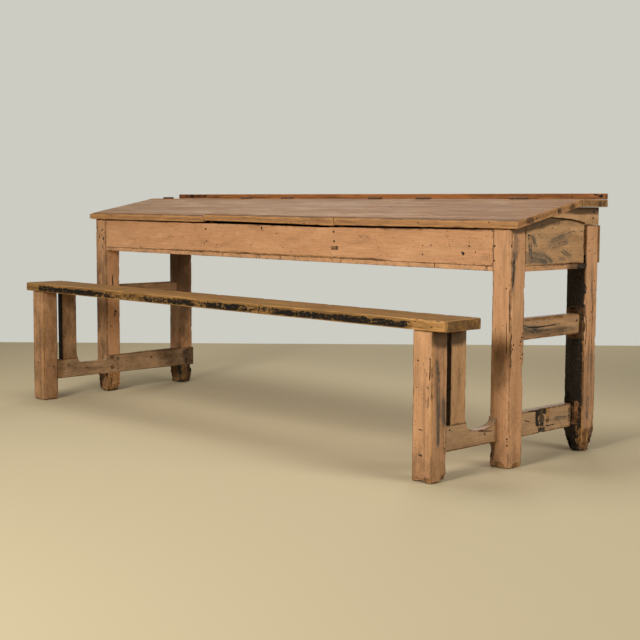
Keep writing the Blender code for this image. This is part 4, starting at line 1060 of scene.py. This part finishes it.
def lid_top(y):
    return LID_FRONT_TOP + (y - LID_FRONT) * SLOPE


def lid_underside(y):
    return lid_top(y) - LID_THICKNESS / math.cos(TILT)


def under_lids(places, sag=0.0):
    """The top of a board that runs back under the lids and the shelf, with a shadow gap to them."""
    top = np.minimum(lid_underside(places), SHELF_UNDERSIDE) - SHADOW_GAP - sag
    return np.where(places > HINGE_LINE + 0.003, SHELF_UNDERSIDE - SHADOW_GAP, top)


# How far each leg's foot is rounded away: towards low X, high X, low Y and high Y, and how high
FEET = {
    "desk_leg_front_right": (0.004, 0.004, 0.003, 0.006, 0.012),
    "desk_leg_back_right": (0.026, 0.006, 0.010, 0.018, 0.054),
    "desk_leg_front_left": (0.016, 0.012, 0.010, 0.010, 0.026),
    "desk_leg_back_left": (0.006, 0.004, 0.006, 0.004, 0.014),
    "bench_leg_left": (0.003, 0.004, 0.003, 0.004, 0.008),
    "bench_leg_right": (0.003, 0.004, 0.003, 0.004, 0.008),
}


def rounded_foot(low, high, foot):
    """The four sides of a leg at each height: near the floor each is drawn in along a quarter ellipse,
    reach times 1 - sqrt(1 - t^2), where t goes from 0 at the foot's height to 1 at the floor."""
    def bounds(places):
        t = np.clip(1 - (places - low.z) / foot[4], 0, 1)
        drawn = 1 - np.sqrt(np.clip(1 - t ** 2, 0, 1))
        return (low.x + foot[0] * drawn, high.x - foot[1] * drawn,
                low.y + foot[2] * drawn, high.y - foot[3] * drawn)
    return bounds


def tight_corner(radius, corner, start):
    """The same radii, but one corner is nearly sharp above a height, where another board lies against it."""
    def changed(places, at):
        value = radius(places, at)
        if at == corner:
            value = value * (1 - 0.9 * soft_step(places, start - 0.006, start))
        return value
    return changed


def desk_leg(row, hand):
    side = SIDES[hand]
    node = f"desk_leg_{row}_{hand}"
    low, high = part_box(node)

    def to_slope(points):
        if row == "back":
            return points
        points = points.copy()
        share = np.clip((points[..., 2] - 0.5) / (high.z - 0.5), 0, 1)
        points[..., 2] += share * (lid_underside(points[..., 1]) - LEG_SHADOW - high.z)
        return points

    seed = {"front": 10, "back": 40}[row] + (7 if side > 0 else 0)
    radius = arris(0.0030, 0.005, seed, 0.03)
    if row == "front":
        radius = tight_corner(radius, 2 if side > 0 else 3, 0.622)
    detail = close_up(node, 2, fine=[(low.z + 0.03, 0.03, 0.003)])
    if node == "desk_leg_front_left":
        detail["fine"].append((0.645, 0.050, 0.0016))
        detail["fine_a"].append((-1.048, 0.026, 0.0016))
    grid = stave(2, low, high, wear=radius, end=0.003, bend=to_slope, step=0.004, cross=0.004,
                 bounds=rounded_foot(low, high, FEET[node]), **detail)
    loss = {"desk_leg_front_right": 0.005, "desk_leg_front_left": 0.003}.get(node, 0.007)
    rot = {"desk_leg_back_right": 0.0050, "desk_leg_back_left": 0.0060,
           "desk_leg_front_left": 0.0030}.get(node, 0.0)
    worn = together(hand_planed(seed, 0.0006, grain_size(2)), worn_foot(seed + 3, 0.05, loss),
                    crumbled(seed + 5, 0.080, rot))

    def marks(points, normals):
        return {"grime": (0.20 if rot else 0.44) * (1 - soft_step(points[:, 2], 0.01, 0.26))}

    board(node, "desk", leg_paint, grid, worn, marks, [node])


# How far the apron's top has sunk under the lids, at places along it
APRON_SUNK = ([-1.02, -0.85, -0.52, -0.10, 0.27, 0.34, 0.64, 0.93, 1.02],
              [0.003, 0.003, 0.0060, 0.0070, 0.0110, 0.0095, 0.0075, 0.0055, 0.004])


def front_apron():
    low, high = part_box("front_apron")
    low.x, high.x = -LEG_IN + 0.0001, LEG_IN - 0.0001

    def bounds(places):
        return low.y, high.y, low.z, high.z - np.interp(places, *APRON_SUNK)

    grid = stave(0, low, high, wear=arris(0.0016, 0.0016, 71), end=0.0006, bounds=bounds, coarse_back=True,
                 **close_up("front_apron", 0))
    board("front_apron", "desk", apron_paint, grid, hand_planed(71, 0.0005),
          stands_for=["front_apron"])


# The split that runs back and down through the right end board: heights at places along it
SPLIT = ([0.0910, 0.1790, 0.2274, 0.2581, 0.2934, 0.3084],
         [0.7632, 0.7568, 0.7531, 0.7482, 0.7420, 0.7395])


def end_board(hand):
    """One plank with its top cut to the slope. The right one is split, so its upper back corner, the cheek
    over the leg, is a piece of its own."""
    side = SIDES[hand]
    node = f"end_board_{hand}"
    low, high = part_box(node)
    low.y = LEG_BACK + SHADOW_GAP
    notch, notch_floor = REAR_LEG_FRONT - 0.012, 0.7353

    def split_line(places):
        wander = 0.0009 * uneven(np.stack([places, places * 0, places * 0], axis=-1), (0.012, 1, 1), 5)
        return np.interp(places, *SPLIT) + wander

    def whole(places):
        return np.where(places < notch, low.z, notch_floor), under_lids(places), low.x, high.x

    def under_split(places):
        top = under_lids(places)
        top = np.where(places > 0.0925, np.minimum(split_line(places) - 0.0004, top), top)
        return low.z, top, low.x, high.x

    def over_split(places):
        opening = 0.0016 + 0.0022 * soft_step(places, 0.14, 0.28)
        bottom = np.where(places < notch + 0.002, split_line(places) + opening, notch_floor)
        return bottom, under_lids(places), low.x, high.x - 0.0004

    shape = dict(wear=arris(0.0018, 0.0015, 91 + side), end=0.0015, step=0.003, cross=0.003)
    planed = hand_planed(93 + side, 0.0006, grain_size(1))
    if hand == "left":
        grid = stave(1, low, high, bounds=whole, fine=[(notch, 0.001, 0.0003)], **shape)
        board(node, "desk", end_board_paint, grid, planed, stands_for=[node])
        return
    front = high.copy()
    front.y = notch
    grid = stave(1, low, front, bounds=under_split, **close_up(node, 1), **shape)
    board(node, "desk", end_board_paint, grid, planed, stands_for=[node])
    back = low.copy()
    back.y = 0.104
    cheek = f"{node}_cheek"
    grid = stave(1, back, high, bounds=over_split,
                 **close_up(cheek, 1, fine=[(notch + 0.002, 0.001, 0.0003)]), **shape)
    board(cheek, "desk", end_board_paint, grid, planed)


def floor_board(number):
    node = f"floor_board_{number}"
    low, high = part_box(node)
    low.y += 0.0010 * float(scatter(np.int64(number), np.int64(3), np.int64(5), 9))

    def bounds(places):
        beside_leg = (places < LEG_BACK + SHADOW_GAP) | (places > REAR_LEG_FRONT - SHADOW_GAP)
        left = np.where(beside_leg & (low.x < -LEG_IN), -LEG_IN + SHADOW_GAP, low.x)
        right = np.where(beside_leg & (high.x > LEG_IN), LEG_IN - SHADOW_GAP, high.x)
        return low.z, high.z, left, right

    seed = 200 + 3 * number
    fine = [(LEG_BACK, 0.001, 0.0003), (REAR_LEG_FRONT, 0.001, 0.0003)] if number in (1, 11) else ()
    grid = stave(1, low, high, wear=arris(0.0012, 0.002, seed, 0.03), end=0.0025, bounds=bounds, fine=fine)

    def torn_ends(points, normals):
        """Splinters lost from the front end: chips up to 2 mm deep in its lower and upper arrises."""
        at_front = 1 - soft_step(points[:, 1] - low.y, 0.0, 0.006)
        return 0.0020 * at_front * np.clip(rough(points, (0.040, 0.02, 0.010), seed + 5, 3) + 0.25, 0, 1)

    def marks(points, normals):
        at_front = 1 - soft_step(points[:, 1] - low.y, 0.004, 0.02)
        return {"grime": 0.10 * at_front, "bare": 0.10 * at_front}

    worn = together(hand_planed(seed, 0.0006, grain_size(1)), torn_ends)
    board(node, "desk", floor_paint, grid, worn, marks, [node])


def mid_rail(hand):
    side = SIDES[hand]
    node = f"mid_rail_{hand}"
    low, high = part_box(node)
    low.y, high.y = LEG_BACK + SHADOW_GAP, REAR_LEG_FRONT - SHADOW_GAP
    worn_round = arris(0.003, 0.003, 301 + side)
    outer_top = 0 if side > 0 else 1

    def radius(places, corner):
        """The outer upper arris is worn far rounder than the rest."""
        return worn_round(places, corner) + (0.007 if corner == outer_top else 0.0)

    grid = stave(1, low, high, wear=radius, end=0.001, step=0.004, cross=0.003, **close_up(node, 1))
    planed = hand_planed(303 + side, 0.0010, grain_size(1))
    board(node, "desk", mid_rail_paint, grid, planed, stands_for=[node])


def low_rail(hand):
    side = SIDES[hand]
    node = f"low_rail_{hand}"
    low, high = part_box(node)
    low.y = -0.3254
    foot = -0.2116
    middle, half = (foot + DESK_FRONT) / 2, (DESK_FRONT - foot) / 2

    def bounds(places):
        across = np.clip(np.abs(places - middle) / half, 0, 1)
        hollow = 0.030 * (1 - across ** 2.5) ** 0.4
        if side < 0:
            blunt = np.where(places > middle, 30.0, 8.0)
            hollow = 0.021 * (1 - across ** blunt) ** 0.5
        return low.z, RAIL_TOP - hollow, low.x, high.x

    detail = close_up(node, 1, fine=[(foot, 0.006, 0.0008), (DESK_FRONT, 0.006, 0.0008)])
    if side < 0:
        detail["fine"].append((-0.030, 0.030, 0.0014))
        detail["fine_a"].append((0.118, 0.036, 0.0016))
    grid = stave(1, low, high, wear=arris(0.0022, 0.0035, 331 + side, 0.03), end=0.003, bounds=bounds,
                 step=0.004, cross=0.004, **detail)
    planed = hand_planed(333 + side, 0.0007, grain_size(1))
    board(node, "desk", low_rail_paint, grid, planed, stands_for=[node])


def bench_leg(hand):
    side = SIDES[hand]
    node = f"bench_leg_{hand}"
    low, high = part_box(node)
    grid = stave(2, low, high, wear=arris(0.0036, 0.004, 361 + side, 0.03), end=0.003, step=0.004,
                 cross=0.004, bounds=rounded_foot(low, high, FEET[node]),
                 **close_up(node, 2, fine=[(low.z + 0.015, 0.015, 0.003)]))
    worn = together(hand_planed(363 + side, 0.0006, grain_size(2)), worn_foot(365 + side, 0.03, 0.005))

    def marks(points, normals):
        """Grime above the floor, and painted shade in black on the back from 9 cm up, where it faces the
        upright over a narrow gap; the shade fades within 4 mm of the back.
        """
        back = soft_step(points[:, 1], high.y - 0.0040, high.y - 0.0016)
        black = back * soft_step(points[:, 2], 0.09, 0.11)
        return {"grime": 0.50 * (1 - soft_step(points[:, 2], 0.01, 0.22)), "tar": 1.4 * black}

    board(node, "desk", bench_leg_paint, grid, worn, marks, [node])


def bench_upright(hand):
    side = SIDES[hand]
    node = f"bench_upright_{hand}"
    low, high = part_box(node)
    low.z = RAIL_TOP + SHADOW_GAP

    def bounds(places):
        """The back is drawn in, but for a foot that flares out along a quarter ellipse."""
        drawn_in, foot = 0.007, 0.032
        t = 1 - np.clip((places - low.z) / foot, 0, 1)
        flare = drawn_in * (1 - np.sqrt(np.clip(1 - t ** 2, 0, 1)))
        return low.x, high.x, low.y, high.y - drawn_in + flare

    grid = stave(2, low, high, wear=arris(0.002, 0.0015, 391 + side), end=0.001, bounds=bounds, step=0.006,
                 cross=0.006, **close_up(node, 2))

    def marks(points, normals):
        """Painted shade on the front face, which looks at the bench leg over a narrow gap: black on the left
        one and dark brown on the right one."""
        front = 1 - soft_step(points[:, 1], low.y + 0.0006, low.y + 0.0022)
        return {"tar": (1.4 if side < 0 else 0.45) * front, "grime": 1.5 * front}

    board(node, "desk", upright_paint, grid, hand_planed(393 + side, 0.0006, grain_size(2)),
          marks, [node])


# How strong the black paint on the seat's front edge is, at places along it
SEAT_BLACK = ([-1.04, -1.00, -0.90, -0.64, -0.58, -0.42, -0.34, -0.30, -0.14, -0.10,
               -0.03, 0.00, 0.05, 0.08, 0.26, 0.29, 0.38, 0.41, 0.55, 1.00],
              [0.00, 0.84, 0.90, 0.88, 0.66, 0.60, 0.50, 0.70, 0.68, 0.76,
               0.76, 0.60, 0.64, 0.86, 0.86, 0.60, 0.60, 0.80, 0.86, 0.90])
# Dark spots at the right end of that edge: x, y, z, reach along each axis, strength
SEAT_KNOTS = ((0.968, -0.3977, 0.459, 0.012, 0.01, 0.014, 0.75),
              (1.05, -0.3977, 0.452, 0.03, 0.01, 0.006, 0.5))


def bench_seat():
    low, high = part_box("bench_seat")
    reach = 0.012

    def bounds(places):
        to_end = np.clip(reach - np.minimum(places - low.x, high.x - places), 0, reach)
        drawn = reach - np.sqrt(reach ** 2 - to_end ** 2)
        return low.y + drawn, high.y - drawn, low.z, high.z

    grid = stave(0, low, high, wear=arris(0.0040, 0.008, 421, 0.035), end=0.003, bounds=bounds, step=0.006,
                 fine=[(low.x, reach, 0.0012), (high.x, reach, 0.0012)])

    def marks(points, normals):
        """Black paint left along the middle of the front edge, up to 12 cm short of the right end."""
        x, y, z = points.T
        forward = soft_step(-normals[:, 1], 0.55, 0.85)
        front = forward * soft_step(-x, -0.985, -0.955)
        height = (z - low.z) / (high.z - low.z)
        top = 0.76 + 0.16 * rough(points, (0.04, 1, 1), 424, 3)
        black = front * (1 - soft_step(height, top - 0.10, top + 0.08)) * soft_step(height, 0.05, 0.16)
        black = black * (np.interp(x, *SEAT_BLACK) + 0.30 * rough(points, (0.036, 0.03, 0.012), 425, 3))
        # Paler bare wood along the middle of the top: wear from sitting, and a painted sheen.
        worn_and_sheen = soft_step(normals[:, 2], 0.7, 0.95) * (1 - soft_step(np.abs(y + 0.315), 0.02, 0.07))
        at_back = soft_step(y, -0.27, -0.235) * soft_step(normals[:, 2], 0.5, 0.9)
        return {"tar": np.maximum(black, soft_spots(points, SEAT_KNOTS)),
                "bare": np.maximum(0.5 * worn_and_sheen, 0.66 * forward * soft_step(x, 0.96, 1.0)),
                "grime": 0.45 * at_back + 0.5 * soft_step(normals[:, 0], 0.6, 0.9)}

    board("bench_seat", "desk", seat_wood, grid, hand_planed(423, 0.0012), marks, ["bench_seat"])


def lid(hand):
    node = f"lid_{hand}"
    low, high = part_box(node)
    run, rise = math.cos(TILT), math.sin(TILT)
    whole = (HINGE_LINE - LID_FRONT) / run

    def to_slope(points):
        """The lid is drawn with Y up the slope and Z square to it, then laid on the slope. Its back edge
        is upright, so the length up the slope shrinks with the depth under the upper face."""
        up, down = points[..., 1], -points[..., 2]
        up = up * (whole - down * rise / run) / whole
        bent = points.copy()
        bent[..., 1] = LID_FRONT + up * run + down * rise
        bent[..., 2] = LID_FRONT_TOP + up * rise - down * run
        at_front = (1 - np.clip(up / whole, 0, 1)) ** 1.2
        across = np.clip((points[..., 0] - low.x) / (high.x - low.x), 0, 1)
        if hand == "left":
            bent[..., 2] -= 0.0020 * across ** 2 * at_front
        if hand == "middle":
            bent[..., 2] += 0.0036 * (1 - across) ** 1.6 * at_front
        thicker = {"left": 0.0006, "middle": 0.0050 * across ** 2, "right": 0.0026 - 0.0010 * across}[hand]
        bent[..., 2] -= thicker * np.clip(down / LID_THICKNESS, 0, 1) * np.clip(1 - up / 0.09, 0, 1)
        return bent

    def flat(place):
        """A world place as the straight board's own."""
        up, out = place[1] - LID_FRONT, place[2] - LID_FRONT_TOP
        return place[0], up * run + out * rise, out * run - up * rise

    seed = {"left": 451, "middle": 461, "right": 471}[hand]
    grid = stave(0, (low.x, 0.0, -LID_THICKNESS), (high.x, whole, 0.0), end=0.0018, bend=to_slope,
                 cross=0.010, wear=arris(0.0022, 0.0045, seed, 0.03), **close_up(node, 0, flat=flat))

    def marks(points, normals):
        """A thin film of paint on top, gone along the front and weaker along the hinge line, with bare
        wood on the front edge and at the ends, and grime along the front, at the ends and below."""
        from_front = points[:, 1] - LID_FRONT
        wander = 0.015 * rough(points, (0.15, 0.03, 0.03), seed + 9, 3)
        film = soft_step(normals[:, 2], 0.80, 0.97) * soft_step(from_front + wander, 0.010, 0.040)
        film = film * (1 - 0.6 * soft_step(from_front + wander, 0.29, 0.335))
        film = film * (1 - 0.25 * soft_step(points[:, 0], 0.0, 0.8))
        front = soft_step(-normals[:, 1], 0.55, 0.85)
        ends = soft_step(np.abs(normals[:, 0]), 0.6, 0.9)
        soiled = 0.62 * soft_step(normals[:, 2], 0.10, 0.60) * (1 - soft_step(from_front, 0.008, 0.045))
        return {"film": film, "bare": np.maximum(0.75 * front, 0.70 * ends),
                "grime": soiled + 0.30 * ends + 0.25 * soft_step(-normals[:, 2], 0.6, 0.9)}

    board(node, f"{hand}_lid", lid_wood, grid, hand_planed(seed, 0.0009), marks, [node])


def lid_batten(hand, number):
    node = f"lid_batten_{hand}_{number}"
    low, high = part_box(node)
    thickness = 0.018

    def to_slope(points):
        """The batten is drawn level, with its upper face at Z 0, and laid under the lid's slope."""
        bent = points.copy()
        down = -points[..., 2]
        ends = 0.5 * (low.y + high.y)
        bent[..., 1] = ends + (points[..., 1] - ends) * (1 - 2 * down / (high.y - low.y))
        bent[..., 2] = lid_underside(bent[..., 1]) - SHADOW_GAP - down / math.cos(TILT)
        return bent

    grid = stave(1, (low.x, low.y, -thickness), (high.x, high.y, 0.0),
                 wear=arris(0.0015, 0.001, 500 + number), end=0.0015, bend=to_slope)
    board(node, f"{hand}_lid", batten_wood, grid,
          hand_planed(501 + number, 0.0005, grain_size(1)), stands_for=[node])


def long_board(node, material, seed, radius, chips, end, marks=None):
    """A straight board along the desk."""
    low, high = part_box(node)
    grid = stave(0, low, high, wear=arris(radius, chips, seed), end=end, **close_up(node, 0))
    board(node, "desk", material, grid, hand_planed(seed, 0.0006), marks, [node])


def divider(hand):
    node = f"divider_{hand}"
    low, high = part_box(node)

    notch, notch_floor = 0.3741, 0.735

    def bounds(places):
        """The top drops towards the front, so that the lids' sagging front edges clear it."""
        from_front = places - LID_FRONT
        sag = 0.0030 * np.clip(1 - from_front / 0.33, 0, 1) + 0.0055 * np.clip(1 - from_front / 0.095, 0, 1)
        return low.z, np.where(places > notch, notch_floor, under_lids(places, sag)), low.x, high.x

    grid = stave(1, low, high, wear=arris(0.0012, 0.0008, 521), end=0.001, bounds=bounds,
                 fine=[(notch, 0.001, 0.0003)])
    board(node, "desk", divider_wood, grid, hand_planed(523, 0.0006, grain_size(1)),
          stands_for=[node])


for hand in SIDES:
    for row in ("front", "back"):
        desk_leg(row, hand)
    end_board(hand)
    mid_rail(hand)
    low_rail(hand)
    bench_leg(hand)
    bench_upright(hand)
    divider(hand)
for number in range(1, 12):
    floor_board(number)
front_apron()
bench_seat()
for hand in ("left", "middle", "right"):
    lid(hand)
    for number in (1, 2):
        lid_batten(hand, number)


def film_on_top(points, normals):
    ends = soft_step(np.abs(normals[:, 0]), 0.6, 0.9)
    return {"film": soft_step(normals[:, 2], 0.80, 0.97), "bare": 0.45 * ends, "grime": 0.2 * ends}


# Black spots along the strip: x, y, z, reach along each axis, strength
STRIP_BLACK = ((-0.985, 0.3724, 0.829, 0.110, 0.012, 0.012, 0.72),
               (-0.905, 0.3724, 0.829, 0.022, 0.012, 0.007, 1.0),
               (1.085, 0.3724, 0.833, 0.016, 0.012, 0.005, 0.8),
               (1.108, 0.3724, 0.829, 0.014, 0.012, 0.009, 1.0),
               (0.798, 0.3724, 0.8205, 0.055, 0.010, 0.0025, 1.1),
               (0.9966, 0.3724, 0.8243, 0.004, 0.01, 0.003, 1.0))


def strip_marks(points, normals):
    """Black paint left near both ends, and dark end grain."""
    ends = soft_step(np.abs(normals[:, 0]), 0.6, 0.9)
    far_out = soft_step(np.abs(points[:, 0] - 0.15), 0.7, 1.1)
    return {"tar": soft_spots(points, STRIP_BLACK), "bare": 0.6 * ends, "grime": 0.15 * ends + 0.45 * far_out}


long_board("shelf", shelf_wood, 541, 0.003, 0.003, 0.003, film_on_top)
long_board("rear_strip", strip_wood, 551, 0.0028, 0.004, 0.004, strip_marks)
long_board("back_board", back_board_wood, 561, 0.0012, 0.001, 0.001)
long_board("back_rail", back_rail_wood, 571, 0.0012, 0.001, 0.001)


def apron_plug():
    """A grey patch of wood let into the apron's face."""
    low, high = Vector((0.3240, -0.0669, 0.6425)), Vector((0.3570, -0.0620, 0.6570))
    grid = stave(0, low, high, wear=arris(0.0008, 0.0006, 601), end=0.0008, step=0.003, cross=0.003)

    def marks(points, normals):
        return {"grime": 1.3 * soft_step(points[:, 0], 0.3470, 0.3500), "wash": np.full(len(points), 0.2)}

    board("apron_plug", "desk", plug_paint, grid, hand_planed(603, 0.0002), marks)


def nail_heads(name, body, spots, radius=0.0040, proud=0.0004):
    """Nail heads as one mesh: each is a disc carried on circles of radius r times (0.5, 1, 0.8, 0.35) at
    depths from 3 mm under the face to a little proud of it, closed by a middle point at each end. A spot
    is a place and the direction that its face looks in."""
    turns = np.linspace(0, 2 * math.pi, 10, endpoint=False)
    profile = [(0.5, -0.003), (1.0, -0.0004), (0.8, 0.7 * proud), (0.35, proud)]
    points, faces = [], []
    for number, (x, y, z, nx, ny, nz) in enumerate(spots):
        normal = Vector((nx, ny, nz)).normalized()
        side = normal.orthogonal().normalized()
        other = normal.cross(side)
        axes = np.array([side, other, normal])
        grown = radius * (0.85 + 0.3 * float(scatter(np.int64(number), np.int64(1), np.int64(2), 31)))
        rings = np.array([[(grown * r * math.cos(t), grown * r * math.sin(t), depth) for t in turns]
                          for r, depth in profile])
        middle = np.array([(0, 0, profile[0][1]), (0, 0, proud)])
        local = np.concatenate([rings.reshape(-1, 3), middle])
        base = sum(len(block) for block in points)
        points.append(local @ axes + np.array((x, y, z)))
        count = len(turns)
        for ring in range(len(profile) - 1):
            for k in range(count):
                a, b = base + ring * count + k, base + ring * count + (k + 1) % count
                faces.append((a, b, b + count, a + count))
        last = base + (len(profile) - 1) * count
        for k in range(count):
            faces.append((base + count * len(profile), base + (k + 1) % count, base + k))
            faces.append((last + k, last + (k + 1) % count, base + count * len(profile) + 1))
    mesh = bpy.data.meshes.new(name)
    mesh.from_pydata(np.concatenate(points), [], faces)
    bm = bmesh.new()
    bm.from_mesh(mesh)
    bmesh.ops.recalc_face_normals(bm, faces=bm.faces)
    bm.to_mesh(mesh)
    bm.free()
    mesh.shade_smooth()
    mesh.materials.append(nail_iron)
    piece = bpy.data.objects.new(name, mesh)
    bpy.context.scene.collection.objects.link(piece)
    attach(piece, body)
    return piece


def all_nails():
    apron_face = DESK_FRONT + 0.0012
    front, out = (0, -1, 0), lambda side: (side, 0, 0)
    spots = [(-0.3515, apron_face, 0.655, *front), (0.7375, apron_face, 0.640, *front)]
    for side in (-1, 1):
        spots += [(side * 1.026, DESK_FRONT + 0.0006, z, *front) for z in (0.675, 0.631)]
        spots += [(side * (LEG_OUT - 0.0006), y, z, *out(side)) for y, z in
                  ((0.030, 0.722), (0.030, 0.640), (0.290, 0.715), (0.290, 0.640), (0.355, 0.758))]
        spots += [(side * (LEG_OUT - 0.0006), 0.352, z, *out(side)) for z in (0.690, 0.430)]
        spots += [(side * 1.0740 - side * 0.0006, y, 0.430, *out(side)) for y in (0.016, 0.304)]
    nail_heads("nails_desk", "desk", spots)


apron_plug()
all_nails()
for name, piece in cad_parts.items():
    if name.startswith("hinge_"):
        piece.data.materials.clear()
        piece.data.materials.append(hinge_iron)


# Floor, wall, light and camera

def flat_colour(name, value, wall=False):
    """A plain matt colour. The camera sees it only from its front, and nothing else sees the wall."""
    material = bpy.data.materials.new(name)
    material.use_nodes = True
    n = Nodes(material.node_tree)
    shader = n.tree.nodes["Principled BSDF"]
    shader.inputs["Base Color"].default_value = value
    shader.inputs["Roughness"].default_value = 0.9
    shader.inputs["Specular IOR Level"].default_value = 0.1
    camera_ray = n.add("ShaderNodeLightPath").outputs["Is Camera Ray"]
    behind = n.add("ShaderNodeNewGeometry").outputs["Backfacing"]
    hidden = n.times(camera_ray, behind)
    if wall:
        n.tree.nodes.remove(shader)
        shader = n.add("ShaderNodeEmission", {"Color": value, "Strength": 1.0})
        hidden = n.minus(1.0, n.times(camera_ray, n.minus(1.0, behind)))
    clear = n.add("ShaderNodeBsdfTransparent").outputs[0]
    mixed = n.add("ShaderNodeMixShader", {0: hidden, 1: shader.outputs[0], 2: clear})
    n.tree.links.new(mixed.outputs[0], n.tree.nodes["Material Output"].inputs[0])
    return material


def plane(name, corners, material):
    mesh = bpy.data.meshes.new(name)
    mesh.from_pydata(corners, [], [range(len(corners))])
    mesh.materials.append(material)
    piece = bpy.data.objects.new(name, mesh)
    bpy.context.scene.collection.objects.link(piece)
    return piece


WALL_COLOUR = colour(204, 204, 195)
FLOOR_COLOUR = colour(191, 176, 143)
FLOOR_REACH = 5
WALL_AWAY = 7.05
WALL_HALF = 12
WALL_HEIGHT = 9
# The image's width and the camera's focal length in pixels, and where the camera stands and looks
IMAGE_WIDTH = 640
FOCAL_LENGTH = 1240.39
EYE = Vector((3.34642, -3.05100, 0.79998))
FORWARD = Vector((-0.71443, 0.69342, -0.09357)).normalized()
RIGHT = Vector((0.69609, 0.71793, 0.00556)).normalized()
UP = RIGHT.cross(FORWARD).normalized()

round_floor = [(FLOOR_REACH * math.cos(turn), FLOOR_REACH * math.sin(turn), 0)
               for turn in np.linspace(0, 2 * math.pi, 180, endpoint=False)]
plane("floor", round_floor, flat_colour("floor_pale", FLOOR_COLOUR))
level = Vector((FORWARD.x, FORWARD.y, 0)).normalized()
across = Vector((level.y, -level.x, 0)) * WALL_HALF
foot = Vector((EYE.x, EYE.y, 0)) + level * WALL_AWAY
rise = Vector((0, 0, WALL_HEIGHT))
plane("wall", [foot - across, foot + across, foot + across + rise, foot - across + rise],
      flat_colour("wall_pale", WALL_COLOUR, wall=True))

world = bpy.data.worlds.new("studio")
bpy.context.scene.world = world
world.use_nodes = True
around = Nodes(world.node_tree)
around.tree.nodes.clear()
sky = around.add("ShaderNodeBackground", {"Color": colour(235, 235, 230), "Strength": 0.20}).outputs[0]
seen = around.add("ShaderNodeBackground", {"Color": WALL_COLOUR, "Strength": 1.0}).outputs[0]
camera_ray = around.add("ShaderNodeLightPath").outputs["Is Camera Ray"]
both = around.add("ShaderNodeMixShader", {0: camera_ray, 1: sky, 2: seen}).outputs[0]
around.add("ShaderNodeOutputWorld", {0: both})


def soft_light(name, place, target, size, power, warmth=(1.0, 0.98, 0.95)):
    lamp = bpy.data.lights.new(name, "AREA")
    lamp.shape = "DISK"
    lamp.size = size
    lamp.energy = power
    lamp.color = warmth
    holder = bpy.data.objects.new(name, lamp)
    holder.location = place
    holder.rotation_euler = (Vector(target) - Vector(place)).to_track_quat("-Z", "Y").to_euler()
    bpy.context.scene.collection.objects.link(holder)


soft_light("front_box", (1.18, -4.42, 2.385), (0.2, 0.0, 0.5), 1.3, 180)
soft_light("top_box", (-0.4, -0.3, 3.0), (-0.1, 0.0, 0.4), 2.0, 42)
soft_light("right_box", (4.2, 0.6, 1.7), (0.8, 0.1, 0.5), 1.6, 60)
soft_light("back_box", (-2.6, 4.2, 2.2), (-0.1, 0.2, 0.4), 2.0, 60)

camera = bpy.data.cameras.new("camera")
camera.sensor_fit = "HORIZONTAL"
camera.sensor_width = 36.0
camera.lens = camera.sensor_width * FOCAL_LENGTH / IMAGE_WIDTH
camera.clip_end = 100
eye = bpy.data.objects.new("camera", camera)
eye.matrix_world = Matrix.Translation(EYE) @ Matrix((RIGHT, UP, -FORWARD)).transposed().to_4x4()
bpy.context.scene.collection.objects.link(eye)
bpy.context.scene.camera = eye
bpy.context.scene.view_settings.view_transform = "Standard"
